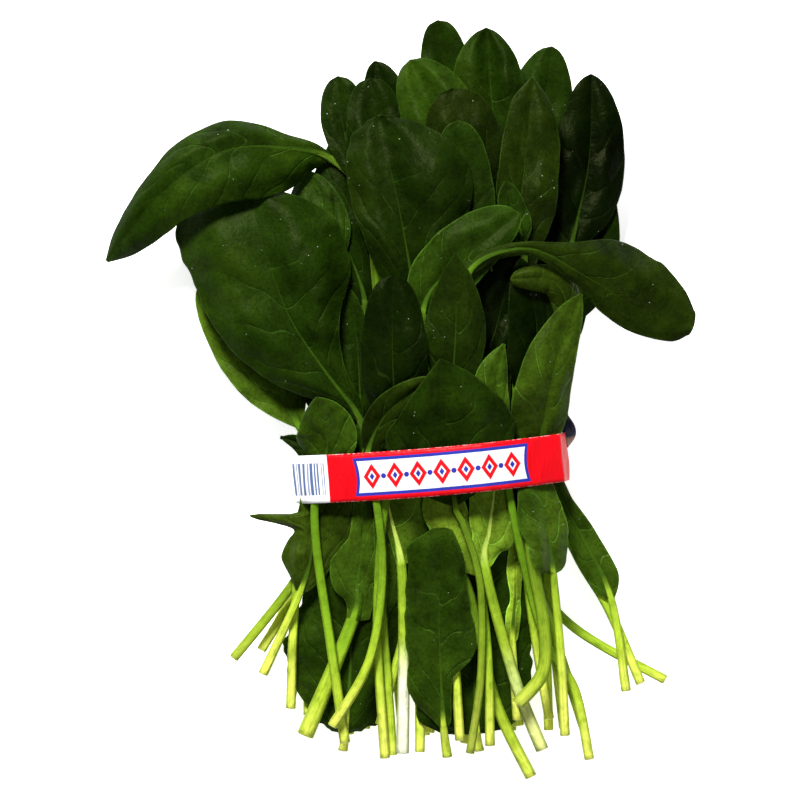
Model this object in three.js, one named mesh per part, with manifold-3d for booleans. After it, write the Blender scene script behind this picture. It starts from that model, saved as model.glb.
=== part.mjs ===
// A bunch of fresh spinach held by one printed band, lying on its back.
// Millimetres, +Z up. Leaf tips point to +Y and the cut stems to -Y. Every leaf is one closed
// solid, blade and stem together, and the leaves are laid one over the other from the table up.
import * as THREE from "three";
import Module from "manifold-3d";

const wasm = await Module();
wasm.setup();

// ---------------------------------------------------------------- driving dimensions
const BLADE = 0.8; // thickness of a blade
const GAP = 0.6; // clear height kept between a leaf and the heap under it
const LOWEST = 0.02; // lowest point of a leaf that touches the table
const TIP = 0.8; // half width left at the end of a blade
const STEM = 1.5; // usual stem radius where the blade starts
const STEM_FLARE = 0.32; // how much thicker a stem is at its cut end
const RIB_FADE = 0.55; // share of the blade over which the rib thins away

const BAND = {
  x: 13.6, // centre in plan
  y: -27.8,
  turn: THREE.MathUtils.degToRad(4.94),
  width: 19.2, // a 3/4 inch label
  wall: 0.7,
  clear: 0.4, // room between the wall and the leaves
  sag: 1.3, // bow of the strip along its length
  foot: 22, // half length of the flat face it stands on
  sides: 40,
};

// The bunch as a mound: y, centre x, half width, height of its rim, of its lowest and of its
// highest sheet.
const MOUND = [
  [-150, 18, 62, 8, 1, 24],
  [-90, 17, 60, 9, 1, 32],
  [-28, 14, 56, 15, 2, 38],
  [20, 8, 78, 14, -2, 56],
  [70, 2, 90, 14, -3, 60],
  [110, 18, 76, 15, -1, 52],
  [152, 28, 50, 16, 8, 40],
];

// Places along a blade, from its base to its tip, where a leaf has a row of corners.
const ROWS = [0.07, 0.2, 0.36, 0.54, 0.71, 0.85, 0.95, 1];

// ---------------------------------------------------------------- the leaves
// at: plan points from the cut end of the stem to the tip. blade: which of them starts the blade.
// half: widest half widths, left and right of the rib. peak: where that is. neck and end: how the
// width rises and falls. outline: rows of [place, left, right] instead of those four.
// lift: height added at the base, the middle and the tip. cup, roll, puff, wave: the blade's form.
const usual = {
  half: [12, 12], peak: 0.42, neck: 0.8, end: 0.55, stem: STEM,
  lift: [0, 0, 0], cup: -0.1, roll: 0, puff: 0.1, wave: 1.2,
};

function random(seed) {
  let s = seed;
  return () => (s = (s * 16807) % 2147483647) / 2147483647;
}

// The back of the bunch: three tiers of leaves under the ones that show, the short ones lowest.
const TIERS = [
  { count: 5, from: -34, to: 58, tip: 40, length: 52 },
  { count: 5, from: -60, to: 72, tip: 80, length: 66 },
  { count: 4, from: -24, to: 62, tip: 116, length: 72 },
];
function backLeaves() {
  const dice = random(4127);
  return TIERS.flatMap(({ count, from, to, tip, length }, tier) =>
    Array.from({ length: count }, (_, i) => {
      const s = (((i * 3 + tier) % count) + 0.5) / count;
      const [a, b, c, d] = [dice(), dice(), dice(), dice()];
      const end = [from + (to - from) * s, tip + 10 * a - 14 * Math.abs(s - 0.5)];
      const band = [-28 + 80 * s + 4 * (b - 0.5), -28];
      const base = [band[0] + (end[0] - band[0]) * 0.3, Math.max(-16, end[1] - length)];
      return {
        name: `leaf_back_${tier + 1}_${i + 1}`,
        at: [
          [-36 + 98 * (0.8 * s + 0.2 * c), -122 - 16 * d],
          [-30 + 86 * s, -76],
          band,
          base,
          [base[0] * 0.45 + end[0] * 0.55 + 6 * (b - 0.5), (base[1] + end[1]) / 2],
          end,
        ],
        blade: 3,
        half: [17 + 6 * c, 17 + 6 * d],
        end: 0.45 + 0.25 * a,
        lift: [0, -1, 3 * c],
        cup: -0.12 + 0.35 * b,
        wave: 1 + 2 * d,
      };
    }));
}

const FRONT = [
  { name: "leaf_right_b", blade: 4, half: [13, 13], lift: [0, -2, 2],
    at: [[107, -113], [68, -90], [48, -60], [46, -28], [62, 26], [75, 58], [78, 96]] },
  { name: "leaf_top_b", blade: 4, half: [17, 13], end: 0.5, lift: [0, 0, 2],
    at: [[36, -132], [44, -80], [51, -28], [50, 30], [48, 72], [57, 112], [61, 142]] },
  { name: "leaf_right_a", blade: 5, half: [15, 15], roll: -0.1, lift: [0, 1, 0],
    at: [[97, -114], [84, -84], [71, -62], [57, -28], [62, 20], [68, 58], [76, 96], [77, 131]] },
  { name: "leaf_left_c", blade: 4, half: [8, 7], cup: 0.2,
    at: [[-44, -120], [-36, -80], [-26, -28], [-18, 10], [-14, 38], [-22, 64], [-28, 88]] },
  { name: "leaf_left_d", blade: 4, half: [12, 8], cup: -0.2,
    at: [[-56, -101], [-44, -78], [-30, -28], [-26, 20], [-26, 54], [-30, 74], [-38, 92]] },
  { name: "leaf_left_e", blade: 3, half: [13, 17], peak: 0.45, neck: 0.9, end: 0.6, cup: 0.2,
    lift: [0, -2, 0],
    at: [[-37, -127], [-37, -72], [-35, -30], [-40, -12], [-60, 18], [-81, 46]] },
  { name: "leaf_left_f", blade: 3, half: [7, 6],
    at: [[-24, -134], [-20, -80], [-18, -28], [-16, -12], [-17, 20], [-20, 44]] },
  { name: "leaf_left_h", blade: 3, lift: [0, 13, 8], cup: -0.2, puff: 0.12, wave: 1.5,
    at: [[-22, -131], [-20, -80], [-13, -30], [-16, -8], [-31, 13], [-44, 33], [-53, 57],
      [-61, 84]],
    outline: [[0.05, 4, 4], [0.12, 7, 5], [0.295, 19, 12], [0.42, 25, 21], [0.55, 29, 29],
      [0.72, 32, 32], [0.88, 33, 24], [0.96, 30, 13], [1, 16, 5]] },
  { name: "leaf_left_g", blade: 7, lift: [0, 24, 2], cup: -0.35, wave: 0.5,
    at: [[-67, -104], [-46, -78], [-30, -54], [-8, -26], [-8, 10], [-10, 50], [-15, 82], [-28, 97],
      [-46, 101], [-70, 99], [-94, 83], [-118, 56]],
    outline: [[0.07, 9, 3.5], [0.155, 14.5, 5], [0.27, 17, 9], [0.38, 16.5, 12], [0.52, 13, 12],
      [0.66, 10, 9.6], [0.83, 8, 6.4], [0.94, 4.6, 3.6], [1, 0.8, 0.8]] },
  { name: "leaf_left_a", blade: 4, half: [8.5, 10], peak: 0.68, neck: 1.2, roll: 0.2, end: 0.45,
    at: [[-14, -126], [-12, -80], [-4, -28], [-8, 40], [-13, 78], [-22, 106], [-25, 130]] },
  { name: "leaf_top_c", blade: 4, half: [9, 12], cup: 0.2, end: 0.5,
    at: [[-20, -130], [-14, -80], [-6, -28], [-2, 40], [-1, 84], [-6, 114], [-10, 136]] },
  { name: "leaf_left_b", blade: 4, half: [13, 12], end: 0.4, lift: [0, 1, 2],
    at: [[-14, -132], [-8, -80], [1, -28], [-2, 40], [-6, 82], [-9, 108], [-12, 129]] },
  { name: "leaf_top_a", blade: 4, half: [11, 12], cup: 0.15, lift: [0, 0, 4], end: 0.38,
    at: [[12, -134], [20, -80], [29, -28], [30, 40], [28, 86], [20, 122], [15, 152]] },
  { name: "leaf_top_d", blade: 4, half: [18, 15], puff: 0.3, cup: 0.1, lift: [0, 2, 3], end: 0.55,
    at: [[48, -131], [42, -80], [40, -28], [40, 40], [41, 84], [37, 118], [34.5, 149]] },
  { name: "leaf_top_e", blade: 4, half: [15, 18], puff: 0.25, lift: [0, 2, 2], end: 0.45,
    at: [[30, -134], [33, -80], [34, -28], [36, 40], [31, 76], [16, 110], [4, 136]] },
  { name: "leaf_top_f", blade: 4, half: [16, 17], end: 0.42, lift: [0, 1, 2],
    at: [[14, -128], [16, -80], [19, -28], [24, 36], [28, 78], [25, 102], [21, 124]] },
  { name: "leaf_right_c", blade: 3, roll: 0.1, lift: [0, 3, 3],
    at: [[26, -138], [38, -80], [46, -28], [46, 30], [46, 60], [50, 96], [53, 128]],
    outline: [[0.1, 6, 6], [0.3, 9, 10], [0.5, 10, 14.5], [0.68, 10.5, 14], [0.82, 9, 11.5],
      [0.93, 6.5, 7], [1, 1.5, 1.5]] },
  { name: "leaf_centre_a", blade: 4, half: [13, 13], end: 0.42, lift: [0, 2, 2],
    at: [[8, -136], [16, -80], [26, -28], [22, 10], [18, 44], [25, 76], [23, 111]] },
  { name: "leaf_centre_big", blade: 4, lift: [0, 4, 3], puff: 0.15, cup: -0.12,
    at: [[8, -141], [8, -80], [8, -28], [8, 10], [6, 38], [0.5, 72], [-8, 111.5]],
    outline: [[0.06, 8, 8], [0.16, 12, 13], [0.4, 16, 26], [0.6, 18.5, 31], [0.78, 17.5, 27],
      [0.91, 14, 18], [0.97, 11, 11], [1, 6, 6]] },
  { name: "leaf_small_a", blade: 4, half: [6, 6],
    at: [[60, -133], [58, -80], [54, -28], [50, 30], [49, 62], [45, 75], [42, 87]] },
  { name: "leaf_low_j", blade: 1, wave: 2,
    at: [[-23, -141], [-22, -134], [-20, -108], [-19, -60], [-19, -30], [-18, -10]],
    outline: [[0.02, 11, 8], [0.07, 14, 14], [0.13, 20, 15], [0.2, 23, 16], [0.29, 22, 17],
      [0.37, 17, 17], [0.48, 14, 15], [0.65, 10, 11], [0.85, 6, 6], [1, 1.5, 1.5]] },
  { name: "leaf_low_l", blade: 1, wave: 2,
    at: [[32, -141], [31, -134], [30, -106], [32, -60], [34, -30], [34, -8]],
    outline: [[0.02, 17, 13], [0.08, 23, 17], [0.2, 22, 19], [0.34, 17, 18], [0.55, 12, 15],
      [0.78, 8, 14], [0.9, 5, 8], [1, 1.5, 1.5]] },
  { name: "leaf_left_j", blade: 3, half: [3.5, 3.5], end: 0.8, cup: 0.2, wave: 0.4,
    at: [[-44, -124], [-42, -80], [-36, -40], [-35, -27], [-40, -18], [-48, -15]] },
  { name: "leaf_low_b", blade: 1, wave: 0.5,
    at: [[-55, -110], [-40, -77], [-35, -58], [-33, -32], [-31, -14]],
    outline: [[0.07, 6, 5], [0.2, 11.5, 9], [0.32, 10, 13], [0.385, 8, 15], [0.415, 13, 15],
      [0.44, 24, 15], [0.47, 27, 15], [0.5, 7.5, 15], [0.7, 6, 13], [0.92, 4, 7], [1, 2, 2]] },
  { name: "leaf_low_c", blade: 1, stem: 2.6, lift: [0, 1, 0],
    at: [[-38, -134.5], [-19, -88], [-17, -72], [-14, -50], [-11, -28], [-9, -7]],
    outline: [[0.025, 3, 6.5], [0.1, 5.5, 6.5], [0.19, 11, 6.5], [0.26, 12, 6], [0.34, 8.5, 5.5],
      [0.41, 5.5, 5], [0.6, 6, 4.5], [0.8, 5, 4], [1, 1.5, 1.5]] },
  { name: "leaf_low_g", blade: 1,
    at: [[47, -128], [45, -97], [46, -80], [46.5, -62], [49.5, -46], [50, -20]],
    outline: [[0.03, 2.4, 2.4], [0.15, 3.2, 3], [0.22, 2, 2.4], [0.38, 3.6, 3], [0.5, 3, 2.5],
      [0.65, 1.8, 1.8], [1, 1.5, 1.5]] },
  { name: "leaf_low_h", blade: 1,
    at: [[91, -117], [85, -80], [75, -58], [66, -42], [60, -25], [62, 0], [66, 22]],
    outline: [[0.03, 4.5, 4], [0.09, 6.5, 6.5], [0.2, 7, 6], [0.28, 5, 5.5], [0.35, 5, 5],
      [0.42, 5.5, 4], [0.56, 5, 4], [0.8, 5, 5], [0.95, 3, 3], [1, 1.5, 1.5]] },
  { name: "leaf_shadow_a", blade: 3, half: [12, 11], lift: [0, -1, -2],
    at: [[-8, -130], [6, -80], [24, -28], [30, 4], [38, 28], [45, 56]] },
  { name: "leaf_shadow_b", blade: 3, half: [12, 7.5], lift: [0, -1, 0], cup: 0.2,
    at: [[60, -128], [52, -80], [48, -28], [50, -4], [54, 14], [54, 34], [48, 56]] },
  { name: "leaf_low_k", blade: 2, wave: 0.5,
    at: [[-3, -142], [-5, -110], [-6.5, -87], [-5, -68], [-6, -45], [-6, -20]],
    outline: [[0.03, 2.5, 2.2], [0.1, 4, 5], [0.3, 5, 6.5], [0.5, 5, 6.5], [0.8, 4, 4],
      [1, 1.5, 1.5]] },
  { name: "leaf_right_e", blade: 4, half: [6, 6.5], cup: -0.3, neck: 0.6, end: 0.4, lift: [0, 4, 3],
    wave: 0.5,
    at: [[66, -132], [60, -80], [56, -28], [61, 6], [65.5, 26], [66, 39], [60, 47.5], [44, 48]] },
  { name: "leaf_centre_b", blade: 3, half: [15, 10], end: 0.45, lift: [0, 4, 3], roll: 0.15,
    at: [[24, -136], [20, -80], [13, -28], [9, 34], [24, 54], [47, 74]] },
  { name: "leaf_right_d", blade: 4, lift: [0, 6, 12], cup: -0.25, wave: 0.6,
    at: [[74, -132], [58, -84], [37, -30], [25, 16], [27, 50], [50, 60], [74, 49], [96, 36],
      [116, 30]],
    outline: [[0.06, 2.2, 2.8], [0.24, 2.6, 2.8], [0.32, 4, 3.2], [0.4, 8, 3.6], [0.525, 17, 5],
      [0.66, 21, 9], [0.786, 20.5, 9.5], [0.9, 16.5, 9], [0.97, 10.5, 7], [1, 6, 4.5]] },
  { name: "leaf_low_d", blade: 2, stem: 2,
    at: [[1, -141], [1.5, -100], [0.5, -66], [-4, -45], [-8, -24]],
    outline: [[0.05, 2.2, 7], [0.14, 2.6, 12], [0.3, 3, 15], [0.6, 3.5, 15], [0.85, 3, 8],
      [1, 1.5, 1.5]] },
  { name: "leaf_centre_c", blade: 5, half: [12, 12], peak: 0.45, end: 0.9, stem: 1.8, lift: [0, 2, 4],
    at: [[52.5, -151], [38, -120], [27.5, -77], [20, -58], [19, -30], [20, -2], [22, 28], [22, 58]] },
  { name: "leaf_low_m", blade: 2,
    at: [[36, -138], [35, -100], [31.5, -70], [27, -53], [22, -40], [17, -22]],
    outline: [[0.06, 6, 2], [0.16, 10, 2.2], [0.4, 14, 3], [0.6, 14, 3.5], [0.8, 9, 4],
      [1, 1.5, 1.5]] },
  { name: "leaf_low_f", blade: 2, stem: 2, lift: [0, 2, 0],
    at: [[57, -140], [46, -112], [34, -67], [35.5, -52], [37.5, -37], [40, -8]],
    outline: [[0.04, 3, 4], [0.12, 4.5, 7], [0.25, 7.5, 11], [0.38, 9, 10], [0.5, 9.5, 7],
      [0.75, 8, 7], [1, 1.5, 1.5]] },
  { name: "leaf_low_e", blade: 1, wave: 2, cup: -0.15,
    at: [[19, -143], [17.5, -131], [16, -104], [15.5, -80], [17, -52]],
    outline: [[0.03, 3.5, 3], [0.09, 8, 3.5], [0.16, 12, 4], [0.25, 13.5, 5], [0.33, 13.5, 12],
      [0.42, 13.5, 14.5], [0.6, 13, 12.5], [0.78, 13.5, 10.5], [0.88, 14, 8.5], [0.95, 10.5, 6.5],
      [1, 5, 4]] },
  { name: "leaf_centre_d", blade: 4, half: [13, 14], end: 0.4, lift: [0, 2, 2],
    at: [[-6, -143], [-9, -96], [-8, -60], [-4, -28], [-2, -14], [-3, 20], [-3, 49]] },
  { name: "leaf_right_f", blade: 5, half: [10, 5], peak: 0.4, end: 0.8,
    at: [[76, -144], [70, -116], [58, -96], [48, -60], [42, -28], [41, -14], [38, 4], [41, 22]] },
  { name: "leaf_right_g", blade: 4, half: [14, 9], peak: 0.35, end: 0.7, stem: 2.1, lift: [0, 3, 2],
    roll: 0.1,
    at: [[47, -121], [57, -108], [57, -88], [52, -60], [52, -30], [57, -8], [62, 16], [72, 42]] },
  { name: "leaf_low_i", blade: 2,
    at: [[66, -134], [64, -100], [61, -69], [59, -55], [56, -38], [54, -24]],
    outline: [[0.04, 6, 5], [0.12, 8, 6.5], [0.32, 9.5, 8], [0.52, 10.5, 8], [0.75, 9, 6],
      [0.9, 6, 4], [1, 1.5, 1.5]] },
  { name: "leaf_left_i", blade: 4, half: [8, 9], end: 0.6, stem: 1.6,
    at: [[-22, -137], [-27, -102], [-33, -62], [-34, -40], [-31, -28], [-29, -14], [-33, 1]] },
  { name: "leaf_front_a", blade: 4, half: [7, 9], end: 0.7, lift: [0, 1, 2],
    at: [[-27, -130], [-12, -103], [-7, -68], [-10, -36], [-13, -22], [-5, -5], [14, 9]] },
  { name: "leaf_front_b", blade: 5, lift: [0, 2, 3], puff: 0.12, cup: -0.08, wave: 1, stem: 1.3,
    at: [[28, -141], [32, -112], [32.5, -82], [30.5, -66], [25, -49], [22, -42], [19, -16],
      [16, 16]],
    outline: [[0.07, 9, 9], [0.17, 16, 16], [0.35, 24, 25], [0.5, 25, 27], [0.65, 18, 24],
      [0.8, 11, 17], [0.92, 5, 9], [1, 0.8, 0.8]] },
];

const LEAVES = [...backLeaves(), ...FRONT].map((leaf) => ({ ...usual, ...leaf }));

// ---------------------------------------------------------------- one leaf in plan
// A smooth curve through the plan points, measured along its length.
function curve(points) {
  const line = [];
  const last = points.length - 1;
  for (let i = 0; i < last; i++) {
    const p0 = points[Math.max(i - 1, 0)], p3 = points[Math.min(i + 2, last)];
    const p1 = points[i], p2 = points[i + 1];
    for (let j = 0; j < 24; j++) {
      const t = j / 24;
      line.push([0, 1].map((c) => {
        const v0 = (p2[c] - p0[c]) / 2, v1 = (p3[c] - p1[c]) / 2;
        return (2 * p1[c] - 2 * p2[c] + v0 + v1) * t ** 3
          + (-3 * p1[c] + 3 * p2[c] - 2 * v0 - v1) * t ** 2 + v0 * t + p1[c];
      }));
    }
  }
  line.push(points[last]);
  const length = [0];
  for (let i = 1; i < line.length; i++)
    length.push(length[i - 1] + Math.hypot(line[i][0] - line[i - 1][0], line[i][1] - line[i - 1][1]));
  return { line, length };
}

// The point and direction at a distance along a curve.
function along({ line, length }, want) {
  const d = Math.min(Math.max(want, 0), length.at(-1));
  let i = 1;
  while (i < length.length - 1 && length[i] < d) i++;
  const k = (d - length[i - 1]) / (length[i] - length[i - 1]);
  const a = line[Math.max(i - 2, 0)], b = line[Math.min(i + 1, line.length - 1)];
  const run = Math.hypot(b[0] - a[0], b[1] - a[1]);
  return {
    x: line[i - 1][0] + (line[i][0] - line[i - 1][0]) * k,
    y: line[i - 1][1] + (line[i][1] - line[i - 1][1]) * k,
    dx: (b[0] - a[0]) / run,
    dy: (b[1] - a[1]) / run,
  };
}

// Half width of a blade at place u on one side (0 left, 1 right).
function halfWidth(leaf, u, side) {
  if (leaf.outline) {
    const rows = [[0, leaf.stem, leaf.stem], ...leaf.outline];
    const i = Math.max(1, rows.findIndex((r) => r[0] >= u));
    const [a, b] = [rows[i - 1], rows[i]];
    return a[side + 1] + (b[side + 1] - a[side + 1]) * (u - a[0]) / (b[0] - a[0]);
  }
  const wide = leaf.half[side];
  if (u <= leaf.peak)
    return Math.max(leaf.stem, wide * Math.sin((Math.PI / 2) * (u / leaf.peak) ** leaf.neck));
  const v = (u - leaf.peak) / (1 - leaf.peak);
  return Math.max(TIP, wide * Math.max(0, 1 - v * v) ** leaf.end);
}

// Height of the sheet that lies at share f through the mound, over a plan point.
function sheet(x, y, f) {
  let i = 1;
  while (i < MOUND.length - 1 && MOUND[i][0] < y) i++;
  const [a, b] = [MOUND[i - 1], MOUND[i]];
  const k = THREE.MathUtils.smoothstep(y, a[0], b[0]);
  const [mid, wide, rim, low, high] = [1, 2, 3, 4, 5].map((c) => a[c] + (b[c] - a[c]) * k);
  const g = 1 / (1 + 1.2 * ((x - mid) / wide) ** 4);
  const under = rim + (low - rim) * g, over = rim + (high - rim) * g;
  return under + (over - under) * f;
}

// The rows of corners of a leaf: three across a stem, five across a blade. Each corner holds its
// plan point, the height it would take with nothing under it, and its depth above and below.
function rowsOf(leaf, f, index) {
  const path = curve(leaf.at);
  const start = path.length[24 * leaf.blade], whole = path.length.at(-1);
  const rows = [];
  const pieces = Math.max(4, Math.round(start / 15));
  for (let i = 0; i <= pieces; i++) {
    const p = along(path, (start * i) / pieces);
    const r = leaf.stem * (1 + STEM_FLARE * (1 - i / pieces));
    const z = sheet(p.x, p.y, f);
    rows.push([-1, 0, 1].map((t) => ({
      x: p.x + p.dy * t * r * 0.866, y: p.y - p.dx * t * r * 0.866, z,
      up: t ? r / 2 : r, down: t ? r / 2 : r, stem: true,
    })));
  }
  const places = leaf.outline ? leaf.outline.map((row) => row[0]) : ROWS;
  for (const u of places) {
    const p = along(path, start + (whole - start) * u);
    const [b, m, e] = leaf.lift;
    const lift = b * (1 - u) * (1 - 2 * u) + m * 4 * u * (1 - u) + e * u * (2 * u - 1);
    const rib = Math.max(0, 1 - u / RIB_FADE) * (leaf.stem - BLADE / 2);
    rows.push([-1, -0.5, 0, 0.5, 1].map((t) => {
      const w = halfWidth(leaf, u, t > 0 ? 1 : 0);
      const x = p.x + p.dy * t * w, y = p.y - p.dx * t * w;
      const swing = Math.sin(9 * u + 2.3 * index + (t > 0 ? 1.9 : 0));
      const wave = leaf.wave * swing * t * t * Math.min(1, w / 8);
      return {
        x, y,
        z: sheet(x, y, f) + lift + wave
          + w * (leaf.cup * t * t + leaf.roll * t + leaf.puff * 4 * Math.abs(t) * (1 - Math.abs(t))),
        up: BLADE / 2 + (t ? 0 : rib * Math.max(0, 1 - 3 * u)),
        down: BLADE / 2 + (t ? 0 : rib),
        stem: false,
      };
    }));
  }
  return rows;
}

// Triangles between the rows, as [row, column] corners, wound so that they face up.
function skin(rows) {
  const out = [];
  for (let r = 0; r < rows.length - 1; r++) {
    const [n, m] = [rows[r].length, rows[r + 1].length];
    const a = (c) => [r, c], b = (c) => [r + 1, c];
    if (n === m) {
      for (let c = 0; c < n - 1; c++)
        if (c < (n - 1) / 2) out.push([a(c), a(c + 1), b(c)], [a(c + 1), b(c + 1), b(c)]);
        else out.push([a(c), a(c + 1), b(c + 1)], [a(c), b(c + 1), b(c)]);
    } else
      out.push([a(0), b(1), b(0)], [a(0), a(1), b(1)], [a(1), b(2), b(1)],
        [a(1), b(3), b(2)], [a(1), a(2), b(3)], [a(2), b(4), b(3)]);
  }
  return out;
}

// ---------------------------------------------------------------- laying the heap
const FIELD = { cell: 0.75, x: -136, y: -166, columns: 364, rows: 444 };
const heap = new Float32Array(FIELD.columns * FIELD.rows);
for (let j = 0; j < FIELD.rows; j++)
  for (let i = 0; i < FIELD.columns; i++) {
    const [x, y] = inBand(FIELD.x + i * FIELD.cell, FIELD.y + j * FIELD.cell);
    const strip = Math.abs(y) < BAND.width / 2 + 3 && Math.abs(x) < 75;
    heap[j * FIELD.columns + i] = (strip ? BAND.wall + BAND.clear + 0.4 : LOWEST) - GAP;
  }

// A plan point in the band's own frame.
function inBand(x, y) {
  const dx = x - BAND.x, dy = y - BAND.y;
  const c = Math.cos(BAND.turn), s = Math.sin(BAND.turn);
  return [dx * c + dy * s, dy * c - dx * s];
}

// Calls visit(cell, weights) for every cell whose centre lies in a triangle of plan points.
function cells(a, b, c, visit) {
  const area = (b.x - a.x) * (c.y - a.y) - (c.x - a.x) * (b.y - a.y);
  if (Math.abs(area) < 1e-9) return;
  const { cell, columns } = FIELD;
  const i0 = Math.ceil((Math.min(a.x, b.x, c.x) - FIELD.x) / cell);
  const i1 = Math.floor((Math.max(a.x, b.x, c.x) - FIELD.x) / cell);
  const j0 = Math.ceil((Math.min(a.y, b.y, c.y) - FIELD.y) / cell);
  const j1 = Math.floor((Math.max(a.y, b.y, c.y) - FIELD.y) / cell);
  for (let j = j0; j <= j1; j++)
    for (let i = i0; i <= i1; i++) {
      const x = FIELD.x + i * cell, y = FIELD.y + j * cell;
      const wb = ((x - a.x) * (c.y - a.y) - (c.x - a.x) * (y - a.y)) / area;
      const wc = ((b.x - a.x) * (y - a.y) - (x - a.x) * (b.y - a.y)) / area;
      if (wb > -0.02 && wc > -0.02 && wb + wc < 1.02) visit(j * columns + i, [1 - wb - wc, wb, wc]);
    }
}

const raise = new Map(); // cells that the leaf being laid has raised

// Raises a leaf's corners until it clears the heap, spreading the rise over the leaf.
function settle(rows) {
  // one unknown height for a row of the stem, one for each corner of the blade
  const start = [], link = [];
  const id = rows.map((row) => row.map((corner, c) => {
    if (!corner.stem || c === 0) start.push(corner.z);
    return start.length - 1;
  }));
  const z = Float64Array.from(start);
  const join = (a, b) => a !== b && link.push([a, b]);
  rows.forEach((row, r) => row.forEach((_, c) => {
    if (c) join(id[r][c - 1], id[r][c]);
    if (r) join(id[r - 1][rows[r - 1].length === row.length ? c : 0], id[r][c]);
  }));
  const faces = skin(rows);
  for (let round = 0; round < 2; round++) {
    thicken(rows, id, z);
    const rules = [];
    for (const face of faces) {
      const corner = face.map(([r, c]) => rows[r][c]), ids = face.map(([r, c]) => id[r][c]);
      cells(...corner, (cell, w) => {
        const down = corner.reduce((sum, p, n) => sum + w[n] * p.down, 0);
        const share = new Map();
        ids.forEach((k, n) => share.set(k, (share.get(k) ?? 0) + w[n]));
        const weights = [...share.values()];
        rules.push({
          ids: [...share.keys()], w: weights, need: heap[cell] + GAP + down,
          square: weights.reduce((sum, v) => sum + v * v, 0),
        });
      });
    }
    rows.forEach((row, r) => row.forEach((corner, c) => {
      rules.push({ ids: [id[r][c]], w: [1], need: LOWEST + corner.down, square: 1 });
    }));
    const clear = () => {
      let worst = 0;
      for (const rule of rules) {
        let have = 0;
        for (let n = 0; n < rule.ids.length; n++) have += rule.w[n] * z[rule.ids[n]];
        const lack = rule.need - have;
        if (lack <= 0) continue;
        worst = Math.max(worst, lack);
        for (let n = 0; n < rule.ids.length; n++) z[rule.ids[n]] += (rule.w[n] * lack) / rule.square;
      }
      return worst;
    };
    for (let pass = 0; pass < 70; pass++) {
      const rise = z.map((v, k) => v - start[k]);
      const sum = new Float64Array(z.length), count = new Float64Array(z.length);
      for (const [a, b] of link) {
        sum[a] += rise[b];
        sum[b] += rise[a];
        count[a]++;
        count[b]++;
      }
      for (let k = 0; k < z.length; k++)
        z[k] = start[k] + 0.985 * (rise[k] * 0.45 + 0.55 * (sum[k] / count[k]));
      clear();
    }
    for (let pass = 0; pass < 400 && clear() > 0.01; pass++);
  }
  rows.forEach((row, r) => row.forEach((corner, c) => (corner.z = z[id[r][c]])));
  for (const face of faces) {
    const corner = face.map(([r, c]) => rows[r][c]);
    cells(...corner, (cell, w) => {
      const top = corner.reduce((sum, p, n) => sum + w[n] * (p.z + p.up), 0);
      for (const dj of [-FIELD.columns, 0, FIELD.columns])
        for (const di of [-1, 0, 1]) {
          const near = cell + dj + di;
          raise.set(near, Math.max(raise.get(near) ?? -1, top));
        }
    });
  }
  for (const [cell, top] of raise) heap[cell] = Math.max(heap[cell], top);
  raise.clear();
}

// Depths of the blade's corners, so that a steep blade keeps its thickness square to its face.
function thicken(rows, id, z) {
  rows.forEach((row, r) => {
    if (row[0].stem) return;
    const before = rows[r - 1].length === row.length ? r - 1 : r;
    const after = Math.min(r + 1, rows.length - 1);
    row.forEach((corner, c) => {
      const [l, n] = [Math.max(c - 1, 0), Math.min(c + 1, row.length - 1)];
      const step = (a, ia, b, ib) => new THREE.Vector3(b.x - a.x, b.y - a.y, z[ib] - z[ia]);
      const across = step(row[l], id[r][l], row[n], id[r][n]);
      const ahead = step(rows[before][c], id[before][c], rows[after][c], id[after][c]);
      const normal = across.cross(ahead).normalize();
      const deep = BLADE / 2 / Math.max(0.38, Math.abs(normal.z));
      corner.rib ??= [corner.up - BLADE / 2, corner.down - BLADE / 2];
      corner.up = deep + corner.rib[0];
      corner.down = deep + corner.rib[1];
    });
  });
}

// ---------------------------------------------------------------- solids
// The closed mesh of a leaf from its settled rows.
function leafMesh(rows) {
  const position = [], index = [];
  const top = rows.map((row) => row.map((p) => position.push(p.x, p.y, p.z + p.up) / 3 - 1));
  const low = rows.map((row) => row.map((p) => position.push(p.x, p.y, p.z - p.down) / 3 - 1));
  for (const [a, b, c] of skin(rows)) {
    index.push(top[a[0]][a[1]], top[b[0]][b[1]], top[c[0]][c[1]]);
    index.push(low[a[0]][a[1]], low[c[0]][c[1]], low[b[0]][b[1]]);
  }
  for (let r = 0; r < rows.length - 1; r++) {
    const [n, m] = [rows[r].length - 1, rows[r + 1].length - 1];
    index.push(low[r][0], top[r][0], top[r + 1][0], low[r][0], top[r + 1][0], low[r + 1][0]);
    index.push(top[r][n], low[r][n], low[r + 1][m], top[r][n], low[r + 1][m], top[r + 1][m]);
  }
  const e = rows.length - 1;
  for (let c = 0; c < rows[0].length - 1; c++)
    index.push(top[0][c], low[0][c], low[0][c + 1], top[0][c], low[0][c + 1], top[0][c + 1]);
  for (let c = 0; c < rows[e].length - 1; c++)
    index.push(top[e][c], top[e][c + 1], low[e][c + 1], top[e][c], low[e][c + 1], low[e][c]);
  return { position, index };
}

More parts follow.
